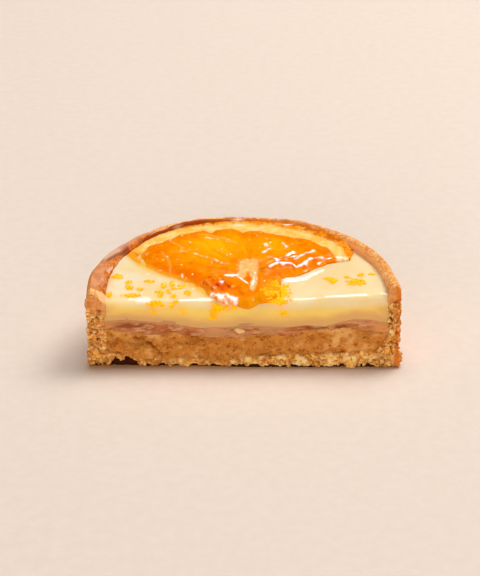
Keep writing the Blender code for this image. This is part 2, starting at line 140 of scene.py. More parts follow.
# The candied orange fan, as places on the cream: x, and the distance behind the cut
FAN_RADIUS = 37.0
FAN_LEFT_EDGE = ((-7.4, 2.8), (-10.7, 6.1), (-14.8, 9.6), (-20.6, 12.8), (-26.0, 17.6), (-29.9, 23.2))
FAN_RIGHT_EDGE = (
    (7.4, 0.8), (9.6, 3.2), (9.8, 6.8), (9.6, 10.0), (13.0, 10.8), (17.3, 13.9), (22.6, 17.1), (26.6, 19.0),
    (28.4, 25.0),
)
FAN_TIP_EDGE = (
    (-7.4, 2.8), (-6.4, 1.2), (-4.8, 0.3), (-3.0, 0.1), (-1.4, -0.3), (0.2, -1.0), (1.4, -1.2),
    (2.6, -0.8), (4.0, 0.1), (5.6, 0.5), (7.4, 0.8),
)
FAN_THICKNESS = 1.15
FAN_CORE = (1.5, 12.0)
FLESH_EDGE = (
    (24.3, 15.6), (24.1, 18.5), (22.9, 22.8), (20.6, 25.6), (18.1, 28.3), (15.2, 29.9), (12.3, 30.1),
    (9.0, 31.8), (5.2, 33.7), (2.0, 34.5), (0.2, 33.8), (-1.1, 35.2), (-3.8, 35.6), (-7.0, 34.8),
    (-8.3, 33.2), (-9.9, 34.6), (-12.2, 33.8), (-16.9, 31.3), (-19.0, 28.8), (-20.8, 27.5),
    (-24.1, 26.0), (-26.3, 22.4), (-26.4, 18.0),
)
PITH_EDGE = (
    (27.4, 17.7), (27.2, 21.7), (25.2, 25.7), (22.3, 29.4), (19.0, 32.0), (15.1, 34.4), (10.6, 37.0),
    (6.0, 38.6), (0.0, 39.3), (-6.0, 39.0), (-12.0, 37.8), (-17.0, 35.8), (-21.8, 33.1), (-25.1, 30.3),
    (-27.6, 27.5), (-29.0, 24.6),
)
# The skins between its segments, in degrees about its core
SEGMENT_ANGLES = (8, 36, 54, 90, 113, 130, 159, 185)

# Grated zest in clumps: x, distance behind the cut, half the width and half the depth
ZEST = (
    (-31.7, 11.4, 1.1, 1.0), (-28.9, 8.7, 0.8, 0.4), (-28.5, 6.4, 0.9, 0.6), (-25.5, 5.9, 0.7, 0.3),
    (-27.9, 3.6, 1.9, 0.4), (-33.7, 3.8, 0.8, 0.6), (-24.4, 9.2, 0.6, 0.3), (-22.9, 9.0, 0.8, 0.4),
    (-19.9, 7.3, 0.6, 0.8), (-17.8, 7.9, 0.6, 0.6), (-17.2, 6.2, 0.7, 0.2), (-15.5, 6.9, 0.7, 0.6),
    (-20.7, 4.8, 0.8, 0.5), (-18.5, 5.0, 0.5, 0.7), (-20.7, 3.4, 0.6, 0.3), (-17.2, 3.5, 0.6, 0.4),
    (-13.9, 4.5, 0.7, 0.7), (-21.7, -0.1, 1.6, 0.9), (-16.7, 0.9, 0.7, 0.3), (-17.7, -0.4, 0.6, 0.5),
    (-22.5, -2.5, 0.4, 0.3), (-15.0, -1.9, 0.4, 0.3), (-6.0, -0.8, 1.6, 0.8), (-7.1, -1.7, 0.8, 0.9),
    (-7.7, -2.7, 0.7, 0.5), (-4.0, -0.8, 0.4, 0.3), (-2.1, -0.6, 0.5, 0.3), (10.2, -2.0, 0.9, 0.3),
    (23.0, 8.8, 1.0, 1.1), (21.5, 10.1, 0.5, 0.3), (28.7, 7.7, 1.9, 1.4), (30.4, 11.2, 0.8, 0.4),
    (33.0, 11.7, 0.6, 0.3), (26.6, 10.2, 0.5, 0.3),
)
ZEST_HEAP = ((8.2, 4.8), (3.4, 3.1))
ZEST_HEAP_FRONT = ((9.0, 0.9), (2.6, 0.7))
# Shreds for each square millimetre of a clump and of a heap, grains in a shred and the
# length of its steps, and how far a clump's colour spreads
CLUMP_CLOSENESS = 9.0
HEAP_CLOSENESS = 8.0
SHRED_GRAINS = 4
SHRED_STEP = 0.2
STAIN_REACH = 0.5

# Where loose crumbs stand in the cut face: ends in x, ends in height, and how many
CRUMB_FIELDS = (
    ((-39.2, -33), (0.3, 16), 260), ((34, 39.9), (0.3, 18), 220), ((-34, 38), (0.2, 4.5), 900))


# --- numbers -------------------------------------------------------------------------


def smooth(value, low, high):
    """0 below low, 1 above high, and an S curve between."""
    share = np.clip((value - low) / (high - low), 0, 1)
    return share * share * (3 - 2 * share)


def hashed(cell, seed):
    """A random value from 0 to 1 for each whole-numbered cell: the fraction of a large sine."""
    return np.sin(cell @ (12.9898, 78.233, 37.719) + seed) * 43758.5453 % 1


def noise(x, y, z, size, seed):
    """Smooth random values from -1 to 1 on a lattice of the given cell size."""
    place = np.stack(np.broadcast_arrays(x, y, z), -1) / size
    cell = np.floor(place)
    share = place - cell
    share = share * share * (3 - 2 * share)
    total = 0.0
    for corner in np.ndindex(2, 2, 2):
        weight = np.prod(np.where(corner, share, 1 - share), axis=-1)
        total = total + weight * (2 * hashed(cell + corner, seed) - 1)
    return total


def layered(x, y, z, size, seed, octaves=3):
    """Noise on noise, each octave half as large and half as strong."""
    return sum(noise(x, y, z, size / 2**k, seed + k) / 2**k for k in range(octaves))


def cells(x, y, z, size, seed):
    """Distance to the nearest of the points strewn one to a cell, in cell sizes, and that
    point's random value."""
    place = np.stack(np.broadcast_arrays(x, y, z), -1) / size
    home = np.floor(place)
    best = np.full(place.shape[:-1], 9.0)
    value = np.zeros_like(best)
    for step in np.ndindex(3, 3, 3):
        cell = home + step - 1
        point = cell + np.stack([hashed(cell, seed + k) for k in range(3)], -1)
        far = np.linalg.norm(place - point, axis=-1)
        nearer = far < best
        best = np.where(nearer, far, best)
        value = np.where(nearer, hashed(cell, seed + 3), value)
    return best, value


def off_path(x, y, path):
    """Distance from the line through the path's points."""
    here = np.stack((x, y), -1)
    best = np.full(here.shape[:-1], 99.0)
    for start, end in zip(path, path[1:]):
        start, step = np.array(start), np.subtract(end, start)
        share = np.clip((here - start) @ step / (step @ step), 0, 1)
        best = np.minimum(best, np.linalg.norm(here - start - share[..., None] * step, axis=-1))
    return best


def between(value, start, end):
    """1 from the start to the end, each of them a stretch that an S curve takes."""
    return smooth(value, *start) * (1 - smooth(value, *end))


def bell(distance, reach):
    """1 at no distance, falling off as exp(-d^2) of the distance in reaches."""
    return np.exp(-((distance / reach) ** 2))


def spot(x, y, centre, half_size, power=1):
    """1 at the centre of an oval, falling off as a bell. A power above 1 makes its top
    flatter and its edge steeper."""
    oval = ((x - centre[0]) / half_size[0]) ** 2 + ((y - centre[1]) / half_size[1]) ** 2
    return np.exp(-(oval**power))


def near_paths(x, y, paths, reach):
    """1 on any of the paths, falling off beside it as a bell."""
    return np.maximum.reduce([bell(off_path(x, y, path), reach) for path in paths])


def dots(x, y, z, size, seed, fall, bare):
    """Soft dots in the cells whose random value is above bare. Each falls off between two
    distances from its middle, in cell sizes."""
    far, value = cells(x, y, z, size, seed)
    return smooth(far, *fall) * (value > bare)


def dense_at_ends(count, pull):
    """Shares from 0 to 1 along a hyperbolic tangent, so that they crowd at both ends."""
    return 0.5 + 0.5 * np.tanh(pull * np.linspace(-1, 1, count)) / math.tanh(pull)


def even(count):
    """Shares from 0 to 1 at even steps."""
    return np.linspace(0, 1, count)


def dense_at_start(count, power):
    """Shares from 0 to 1 that crowd at 0, as even steps raised to a power."""
    return even(count) ** power


def stretches(*runs):
    """Shares from 0 to 1 with a given number of steps to each stretch (end, steps)."""
    shares = [0.0]
    for end, steps in runs:
        shares.extend(np.linspace(shares[-1], end, steps + 1)[1:])
    return np.array(shares)


# --- forms ---------------------------------------------------------------------------


def ring(share, scale):
    """The case's outer D, drawn smaller about the middle of the cut: a circle's arc from
    the left cut end round the back to the right one, which spreads a little."""
    angle = math.pi + END_ANGLE - share * (math.pi + 2 * END_ANGLE)
    x = CASE_RADIUS * np.cos(angle) + RIGHT_END_SPREAD * smooth(share, 0.93, 1)
    y = MIDDLE_Y + CASE_RADIUS * np.sin(angle)
    return x * scale, CUT_Y + (y - CUT_Y) * scale


def wall_thickness(share):
    """Through the wall, between the places where it was measured."""
    return np.interp(share, WALL_SHARES, WALL_THICKNESS)


def fillet_radius(share):
    """Of the bend inside, between the base and the wall."""
    return np.interp(share, FILLET_SHARES, FILLET_RADII)


def rim_height(share):
    """The rim is wavy, and it has sunk at its left cut end and stands up at its right."""
    wave = sum(height * np.sin(share * pace + phase) for height, pace, phase in RIM_WAVES)
    for place, reach, depth in RIM_SAGS:
        wave = wave - depth * bell(share - place, reach)
    ends = RIGHT_END_RISE * smooth(share, 0.92, 1)
    ends = ends - LEFT_END_DROP * (1 - smooth(share, 0, LEFT_END_REACH))
    return RIM_HEIGHT + wave + ends


def rim_fall(share):
    """How much lower the rim's inner edge is than its outer one."""
    ends = LEFT_END_FALL * (1 - smooth(share, 0, 0.08)) + RIGHT_END_FALL * smooth(share, 0.94, 1)
    left = RIM_INWARD_FALL * (1 - smooth(share, 0.22, 0.3))
    return left + RIM_RIGHT_FALL * smooth(share, 0.58, 0.68) + ends


def inner_scale(share, above_base):
    """Scale of the D at which the case's inner face stands, at a height above the base."""
    radius = fillet_radius(share)
    sunk = np.clip(1 - above_base / radius, 0, 1)
    fillet = radius * (1 - np.sqrt(1 - sunk**2))
    return 1 - (wall_thickness(share) + fillet) / CASE_RADIUS


def fade_from_cut(y, reach):
    """1 up to the cut, falling off behind it as exp(-d) of the distance in reaches."""
    return np.exp(-np.maximum(y - CUT_Y, 0) / reach)


def face_height(x, heights, y):
    """Height of a face between two layers: as cut at the front, and level behind."""
    cut = np.interp(x, LAYER_X, heights)
    level = np.mean(heights)
    return level + (cut - level) * fade_from_cut(y, LAYER_LEVELS_WITHIN)


def foot_spread(x, y, z):
    """How far the foot stands out of the cut, where the knife pressed it."""
    low = 1 - smooth(z, 0, FOOT_HEIGHT)
    return FOOT_SPREAD * low * smooth(x, *FOOT_START) * fade_from_cut(y, CUT_REACH)


def undercut_height(x):
    """How high the cut face is broken away at its foot: less under the walls, and most
    where the base is chipped."""
    uneven = layered(x, 0 * x, 0 * x, 1.8, 18, 2)
    level = UNDERCUT_HEIGHT - 0.3 * smooth(np.abs(x), *UNDERCUT_WALL_X) + 0.4 * uneven
    return level + between(x, CHIP_START, CHIP_END) * (CHIP_HEIGHT + 0.5 * uneven)


def undercut_depth(x, y, z):
    """How deep it is broken away there, the chip's ends being ragged."""
    ragged = x + 1.2 * noise(x, y, 0, 1.7, 19)
    shallow, deep = UNDERCUT_DEPTHS
    depth = shallow + (deep - shallow) * between(ragged, CHIP_START, CHIP_END)
    return depth * smooth(undercut_height(x) + 0.2 - z, 0.0, 0.4)


def foot_gaps(x, y):
    """How far the underside stands off the table, in patches."""
    return FOOT_GAPS * smooth(noise(x, y, 0, 2.3, 17) + 0.5 * noise(x, y, 0, 0.9, 18), 0.05, 0.8)


def outer_profile(u, v):
    """Scale and height of the case's outside: straight out to the corner, then straight up
    to the rim, where it rounds inwards."""
    height = rim_height(u)
    z = np.clip((v - CORNER) / (1 - CORNER), 0, 1) * height
    rounding = smooth(z, height - RIM_ROUND_DEPTH, height) ** 2
    return np.clip(v / CORNER, 0, 1) - RIM_ROUND / CASE_RADIUS * rounding, z


def inner_profile(u, v):
    """Scale and height of its inside: along the base, up through a quarter circle, then
    straight up to the rim."""
    radius = fillet_radius(u)
    turn = np.clip((v - FILLET_START) / (FILLET_END - FILLET_START), 0, 1) * math.pi / 2
    flat = inner_scale(u, RIM_HEIGHT) - radius / CASE_RADIUS
    scale = np.clip(v / FILLET_START, 0, 1) * flat + radius / CASE_RADIUS * np.sin(turn)
    x, y = ring(u, scale)
    base = face_height(x, BASE_TOP, y)
    climb = np.clip((v - FILLET_END) / (1 - FILLET_END), 0, 1)
    height = rim_height(u) - rim_fall(u)
    return scale, base + radius * (1 - np.cos(turn)) + climb * (height - base - radius)


def case_shape(u, v, w):
    """u runs round the wall, v from the middle of the base out and up to the rim, and w
    straight through the pastry, from its outer face to its inner one. The rim bulges
    between them as a parabola."""
    outer_scale, outer_z = outer_profile(u, v)
    inner, inner_z = inner_profile(u, v)
    scale = outer_scale * (1 - w) + inner * w
    z = outer_z * (1 - w) + inner_z * w
    z = z + RIM_CROWN * smooth(v, 0.97, 1) * (1 - (2 * w - 1) ** 2)
    x, y = ring(u, scale)
    near = fade_from_cut(y - 2.5, 1.2)
    z = z + near * (1 - w) * (1 - smooth(z, 0, 1.5)) * foot_gaps(x, y)
    return x, y + near * undercut_depth(x, y, z) - foot_spread(x, y, z), z


def filling_plan(u, s, above_base):
    """Plan of a filling: u runs along the cut, s from the cut back to the wall."""
    lap = LAP / CASE_RADIUS
    back_x, back_y = ring(u, inner_scale(u, above_base) + lap)
    left_scale, right_scale = (inner_scale(end, above_base) + lap for end in (0 * u, 0 * u + 1))
    front_x = (HALF_CHORD + RIGHT_END_SPREAD) * right_scale * u - HALF_CHORD * left_scale * (1 - u)
    return front_x + (back_x - front_x) * s, CUT_Y + (back_y - CUT_Y) * s


def almond_shape(u, v, w):
    """From the case's base up to the compote."""
    rough_x, rough_y = filling_plan(u, v, RIM_HEIGHT)
    low = face_height(rough_x, BASE_TOP, rough_y) - LAP
    top = face_height(rough_x, ALMOND_TOP, rough_y)
    above_base = (top - low) * w
    x, y = filling_plan(u, v, above_base)
    z = low + above_base
    return x, y - foot_spread(x, y, z), z


def compote_shape(u, v, w):
    """From the almond cream up to the lemon cream."""
    x, y = filling_plan(u, v, RIM_HEIGHT)
    low = face_height(x, ALMOND_TOP, y) - LAP
    top = face_height(x, COMPOTE_TOP, y) + LAP
    return x, y, low + (top - low) * w


def cream_top(x, y):
    """Height of the set cream: level behind, sunk towards the cut, more so at its left."""
    behind = np.maximum(y - CUT_Y - CREAM_EDGE_DEPTH, 0)
    front = np.interp(x, CREAM_X, CREAM_FRONT)
    unevenness = 0.1 * noise(x, y, 0, 9.0, 41)
    return CREAM_LEVEL + (front - CREAM_LEVEL) * np.exp(-behind / CREAM_SAG_REACH) + unevenness


def on_cream(x, behind, lift):
    """A point on the cream, raised by lift along its surface. A distance behind the cut
    that is small or below 0 goes over the rounded front, a quarter of an ellipse that
    ends where the compote begins."""
    flat_start = CREAM_EDGE_DEPTH - CREAM_SWELL
    bent = np.clip((flat_start - behind) / CREAM_EDGE_LENGTH, 0, 1) * math.pi / 2
    back = np.maximum(behind - flat_start, 0)
    top = cream_top(x, CUT_Y + np.maximum(behind, flat_start))
    depth = CREAM_EDGE_DEPTH
    height = top - face_height(x, COMPOTE_TOP, CUT_Y)
    lean = np.arctan2(np.sin(bent) / depth, np.cos(bent) / height)
    y = CUT_Y - CREAM_SWELL + depth * (1 - np.sin(bent)) + back - lift * np.sin(lean)
    z = top - height * (1 - np.cos(bent)) + lift * np.cos(lean)
    return x, y, z


def cream_shape(u, v, w):
    """The whole front is round: it turns over from upright, on the compote, to level."""
    x, y = filling_plan(u, v, RIM_HEIGHT)
    low = face_height(x, COMPOTE_TOP, y) - LAP
    bent = (1 - w) * math.pi / 2
    front = CUT_Y - CREAM_SWELL + CREAM_EDGE_DEPTH * (1 - np.sin(bent))
    back = np.maximum(filling_plan(u, np.ones_like(v), RIM_HEIGHT)[1], front)
    y = front + (back - front) * v
    return x, y, low + (cream_top(x, y) - low) * np.cos(bent)


def along(points, share):
    """A place on a line through the points, all its stretches taking equal shares."""
    steps = np.linspace(0, 1, len(points))
    return np.stack([np.interp(share, steps, values) for values in zip(*points)])


def fan_plan(u, v):
    """u runs across the fan from left to right, v from its tip to its rind. The plan is
    filled in between four edges: two straight-ish sides, the uneven tip and the rind."""
    corners = [np.array(edge[end]) for edge in (FAN_LEFT_EDGE, FAN_RIGHT_EDGE) for end in (0, -1)]
    middle = np.array((0, CUT_BEFORE_MIDDLE))
    start, end = (np.arctan2(*(corner - middle)[::-1]) for corner in (corners[1], corners[3]))
    angle = start + (end - start) * u
    rind = middle[:, None] + FAN_RADIUS * np.stack((np.cos(angle), np.sin(angle)))
    tip = along(FAN_TIP_EDGE, u)
    sides = along(FAN_LEFT_EDGE, v) * (1 - u) + along(FAN_RIGHT_EDGE, v) * u
    straight = along((corners[0], corners[2]), u) * (1 - v) + along((corners[1], corners[3]), u) * v
    return sides + tip * (1 - v) + rind * v - straight


def angle_round(x, behind):
    """Angle about the case's middle, which stays above a half turn at the cut's left end."""
    angle = np.arctan2(behind - CUT_BEFORE_MIDDLE, x)
    return np.where(angle < -math.pi / 2, angle + 2 * math.pi, angle)


def inside_case(x, behind):
    """Draws a place in to the case's inner wall where it would pass it."""
    share = (math.pi + END_ANGLE - angle_round(x, behind)) / (math.pi + 2 * END_ANGLE)
    room = inner_scale(np.clip(share, 0, 1), RIM_HEIGHT) * CASE_RADIUS
    away = np.hypot(x, behind - CUT_BEFORE_MIDDLE)
    keep = np.minimum(1, room / away)
    return x * keep, CUT_BEFORE_MIDDLE + (behind - CUT_BEFORE_MIDDLE) * keep


def round_edge(x, behind, edge):
    """Distance by which a place lies inside an edge, measured towards the case's middle."""
    edge_x, edge_behind = np.transpose(edge)
    angles = np.arctan2(edge_behind - CUT_BEFORE_MIDDLE, edge_x)
    radii = np.hypot(edge_x, edge_behind - CUT_BEFORE_MIDDLE)
    radius = np.interp(angle_round(x, behind), angles, radii)
    return radius - np.hypot(x, behind - CUT_BEFORE_MIDDLE)


def fan_parts(x, behind):
    """Where a place on the fan is flesh or rind, each from 0 to 1, how far across its
    segment it lies, from 0 at a skin to 1, and its distance from the outer edge."""
    uneven = 0.25 * layered(x, behind, 0 * x, 1.5, 62)
    flesh = smooth(round_edge(x, behind, FLESH_EDGE) + uneven, -0.25, 0.25)
    rind = 1 - smooth(round_edge(x, behind, PITH_EDGE) + 2 * uneven, -0.35, 0.35)
    angle = np.degrees(np.arctan2(behind - FAN_CORE[1], x - FAN_CORE[0])) % 360
    angle = np.where(angle > 270, angle - 360, angle) + 5 * noise(x, behind, 0, 6.0, 61)
    across = np.interp(angle, SEGMENT_ANGLES, range(len(SEGMENT_ANGLES)))
    from_rind = FAN_RADIUS - np.hypot(x, behind - CUT_BEFORE_MIDDLE)
    return flesh, rind, np.abs(np.sin(math.pi * across)), from_rind


def orange_shape(u, v, w):
    """The fan thins out towards its tip and its sides, of which the left one sinks into
    the cream, and swells within its segments and at its rind."""
    x, behind = fan_plan(u, v)
    flesh, rind, lobe, _ = fan_parts(x, behind)
    away = np.hypot(x - FAN_CORE[0], behind - FAN_CORE[1])
    swell = 0.35 * flesh * smooth(away, 2, 7) * smooth(lobe, -0.1, 0.8) + 0.55 * rind
    left = 0.04 + 0.96 * smooth(u, 0, 0.2) ** 0.9
    right = 0.25 + 0.75 * smooth(1 - u, 0, 0.08) ** 0.8
    tip = 0.4 + 0.6 * smooth(v, 0, 0.16)
    thickness = (FAN_THICKNESS + swell) * left * right * tip
    sides = 1 - smooth(np.minimum(u, 1 - u), 0.0, 0.12)
    right_corner = (1 - smooth(1 - u, 0.0, 0.1)) * smooth(v, 0.6, 0.9)
    ragged = 0.3 * sides + 0.5 * right_corner
    shift_x, shift_behind = noise(x, behind, 0, 1.7, 63), noise(x, behind, 0, 1.7, 64)
    x, behind = inside_case(x + ragged * shift_x, behind + ragged * shift_behind)
    return on_cream(x, behind, (LAP + thickness) * w - LAP)


# --- surfaces ------------------------------------------------------------------------


def box_skin(us, vs, ws):
    """The skin of a unit box, cut by the planes us, vs and ws: its points' shares and its
    quads. Each side is a sheet of the points' numbers, read four neighbours at a time."""
    shape = (len(us), len(vs), len(ws))
    on_skin = np.zeros(shape, bool)
    on_skin[[0, -1]] = True
    on_skin[:, [0, -1]] = True
    on_skin[:, :, [0, -1]] = True
    number = np.zeros(shape, int)
    number[on_skin] = np.arange(on_skin.sum())
    shares = [grid[on_skin] for grid in np.meshgrid(us, vs, ws, indexing="ij")]
    quads = []
    for axis in range(3):
        for side in (0, -1):
            sheet = np.take(number, side, axis)
            corners = (sheet[:-1, :-1], sheet[1:, :-1], sheet[1:, 1:], sheet[:-1, 1:])
            quad = np.stack(corners, -1).reshape(-1, 4)
            quads.append(quad[:, ::-1] if (side == 0) != (axis == 1) else quad)
    return shares, np.concatenate(quads)


def write_mesh(name, points, faces):
    """A mesh of points, in millimetres, and faces with the same number of corners each."""
    mesh = bpy.data.meshes.new(name)
    corners = faces.shape[1]
    mesh.vertices.add(len(points))
    mesh.vertices.foreach_set("co", (points * MM).astype(np.float32).ravel())
    mesh.loops.add(faces.size)
    mesh.loops.foreach_set("vertex_index", faces.ravel())
    mesh.polygons.add(len(faces))
    mesh.polygons.foreach_set("loop_start", np.arange(0, faces.size, corners))
    mesh.update(calc_edges=True)
    return mesh


WELD = 0.004


def close_seams(mesh):
    """Merges what has met and turns all faces outwards."""
    bm = bmesh.new()
    bm.from_mesh(mesh)
    bmesh.ops.remove_doubles(bm, verts=bm.verts, dist=WELD * MM)
    bmesh.ops.recalc_face_normals(bm, faces=bm.faces)
    bm.to_mesh(mesh)
    bm.free()


def read_points(mesh):
    """The points in millimetres and their outward directions, as columns."""
    points = np.empty(len(mesh.vertices) * 3, np.float32)
    mesh.vertices.foreach_get("co", points)
    outward = np.empty(len(mesh.vertices) * 3, np.float32)
    mesh.vertex_normals.foreach_get("vector", outward)
    return points.reshape(-1, 3).T / MM, outward.reshape(-1, 3).T.astype(float)


def paint(mesh, name, values):
    """Keeps one value for each point, which the material reads by name."""
    mesh.attributes.new(name, "FLOAT", "POINT").data.foreach_set("value", values.astype(np.float32))


def add_object(name, data):
    """Puts a mesh, a lamp or a camera in the scene."""
    made = bpy.data.objects.new(name, data)
    bpy.context.scene.collection.objects.link(made)
    return made


def add_piece(name, mesh, finish, node=None):
    """A piece of the tart, in place of a node of the solid if one is given."""
    mesh.materials.append(finish)
    mesh.shade_smooth()
    piece = add_object(name, mesh)
    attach(piece, "root")
    if node:
        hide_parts(node)


def make_layer(name, cuts, shape, relief, finish):
    """A closed skin bent to its shape, then raised along its outward directions by the
    relief, whose masks are kept for the material. It takes the place of the node of its
    own name."""
    shares, quads = box_skin(*cuts)
    mesh = write_mesh(name, np.stack(shape(*shares), -1), quads)
    close_seams(mesh)
    points, outward = read_points(mesh)
    height, masks = relief(points, outward)
    raised = points + outward * height
    raised[2] = np.maximum(raised[2], 0)
    mesh.vertices.foreach_set("co", (raised.T * MM).astype(np.float32).ravel())
    mesh.update()
    for mask, values in masks.items():
        paint(mesh, mask, values)
    add_piece(name, mesh, finish, name)


# --- relief --------------------------------------------------------------------------
#
# Each relief gives the height by which a layer's skin is raised along its outward
# directions, and the masks from 0 to 1 that its finish reads by name.

# Deeper pits in the cut walls, as x and height, and the cracks between them
WALL_PITS = (
    (-36.0, 15.6), (-37.6, 12.7), (-36.4, 10.4), (-36.9, 9.3), (-36.3, 7.3), (-38.1, 6.1),
    (-36.8, 4.7), (-35.1, 4.7), (-34.6, 2.4), (38.2, 18.1), (37.3, 14.4), (38.4, 13.3),
    (37.7, 11.0), (38.8, 9.6), (37.0, 9.0), (39.2, 5.3), (35.7, 4.1),
)
WALL_PIT_SIZE = (0.55, 0.36)
WALL_CRACKS = (
    ((38.7, 18.6), (37.5, 15.4), (37.4, 12.4), (36.5, 9.8), (37.5, 7.6), (37.8, 4.6)),
    ((-37.9, 10.9), (-36.6, 10.2), (-35.6, 10.5)), ((-38.2, 9.3), (-36.9, 8.2), (-35.8, 8.6)),
    ((-38.0, 7.4), (-36.8, 6.6), (-35.4, 7.2)), ((-37.6, 13.6), (-36.6, 12.5), (-36.0, 13.2)),
)
CRACK_WIDTH = 0.3
# Hollows in the base: place, half size and strength
HOLLOWS = (
    ((30.6, 0.9), (1.6, 1.3), 1.5), ((35.4, 1.2), (2.2, 1.4), 1.5),
    ((25.6, 0.6), (0.9, 0.5), 1.0), ((-36.0, 0.4), (3.2, 1.2), 1.4),
)
# Where the base is moist, and where the fillings have stained the left wall's inner edge
MOIST_START = (-35.5, -33.5)
MOIST_END = (-23, -9)
JOINT_X = ((-35.9, -34.9), (-34.5, -33))
JOINT_Z = ((10.5, 12.5), (17, 18.5))
# A flake that stands out of the left wall's outer edge
FLAKE = ((CUT_Y, 17.4), (0.9, 1.2))
FLAKE_X = (-38.8, -37.5)

# The lip that leans in from the rim at the fan's left corner, and the burnt syrup below it
LIP = ((-35.7, 17.2), (-33.7, 20.7), (-31.5, 23.4), (-30.4, 24.6))
LIP_SHADOW = ((-34.8, 16.6), (-32.6, 20.1), (-30.6, 22.4), (-29.9, 23.3))
BURNT = ((-29.8, 23.2), (1.5, 1.4))
# Streaks along the rim where glaze shines, painted on as white highlights
RIM_STREAKS = (
    ((-35.6, 5.0), (-35.0, 7.8), (-33.9, 12.6), (-32.5, 16.2), (-30.9, 19.3)),
    ((35.9, 4.4), (35.4, 8.6), (34.2, 12.4)),
)
STREAK_WIDTH = 0.42
# Stretches of the wall, as shares round it, over which the bake changes
LEFT_ENDS = (0.24, 0.3)
BACK_STARTS = (0.22, 0.28)
RIGHT_STARTS = (0.55, 0.62)


def cut_share(y, outward, lean=0.3, reach=0.8):
    """1 on the cut face, falling off where the surface turns away from it."""
    return smooth(-outward[1], lean, 0.8) * fade_from_cut(y - 0.6, reach)


def face_pits(points, wall, coarse, crumbly):
    """How deep the cut face is pitted: strewn pits, most of them in the walls, the larger
    ones at their places, broken cracks, and hollows in the base."""
    x, y, z = points
    pit = dots(x / 1.3 + 0.4 * crumbly, y, z * 1.3 + 0.4 * coarse, 1.5, 41, (0.42, 0.12), 0.6)
    pit = pit * (0.4 + 0.6 * wall)
    for place in WALL_PITS:
        pit = np.maximum(pit, spot(x, z, place, WALL_PIT_SIZE))
    broken = smooth(noise(x, y, z, 1.6, 43), -0.35, 0.25)
    pit = np.maximum(pit, broken * near_paths(x, z, WALL_CRACKS, CRACK_WIDTH))
    for place, size, strength in HOLLOWS:
        pit = np.maximum(pit, strength * spot(x, z, place, size) * smooth(crumbly, -0.5, 0.3))
    return pit


def face_relief(points, cut, near, coarse, crumbly, grain):
    """The cut face of the case: lumps, crumbs and grains with pits between them, all of
    them weaker at the tops of the walls."""
    x, y, z = points
    low = 1 - smooth(z, 2.5, 6)
    wall = smooth(np.abs(x), 34, 35.5) * smooth(z, 3, 5)
    smooth_top = smooth(z + 1.6 * coarse, 14.8, 18.0) * wall
    rough = (0.3 * coarse + 0.34 * crumbly + 0.5 * (grain - 0.25)) * (1 - 0.6 * smooth_top)
    pit = cut * face_pits(points, wall, coarse, crumbly) * (1 - 0.6 * smooth_top)
    lumps = smooth(noise(x, y, z, 2.8, 14), 0.0, 0.7) * low * near
    height = near * rough - 0.9 * pit + 0.6 * lumps

    moist = cut * low * between(x, MOIST_START, MOIST_END)
    # Paler grains where the relief stands up: partly the crumb's own colour, partly painted light on their
    # tops
    light = cut * smooth(0.8 * grain + 0.5 * crumbly + 0.2 * coarse, 0.05, 0.8)
    # Pits, cracks, hollows and the low places of the relief are painted dark as their shade
    shade = pit * (0.95 - 0.45 * low) + near * smooth(-rough, 0.22, 0.6) * 0.45
    masks = {
        "low": low,
        "moist": moist,
        "light": light * (1 - 0.6 * moist) * (1 - smooth_top),
        "pit": np.clip(shade, 0, 1),
        "facet": cut * smooth_top,
        "shell": cut * smooth(np.abs(x) + 0.3 * coarse, 38.1, 38.9) * smooth(x, 0, 5),
        "joint": 0.7 * cut * between(x, *JOINT_X) * between(z, *JOINT_Z),
        # The broken-away foot is painted nearly black as the shade under its overhang
        "undercut": fade_from_cut(y - 1.5, 0.8) * smooth(undercut_height(x) - z, -0.1, 0.15),
        # The right wall's crumb is painted lighter, as painted light that makes up for the shade the lamps
        # leave on it
        "right": wall * smooth(x, 30, 34),
    }
    return height, masks


def share_behind(x, y):
    """Share round the wall of a place behind the case's middle. What lies before it counts
    as the wall's right end, also at the left end of the cut."""
    share = (math.pi + END_ANGLE - np.arctan2(y - MIDDLE_Y, x)) / (math.pi + 2 * END_ANGLE)
    return np.clip(share, 0, 1)


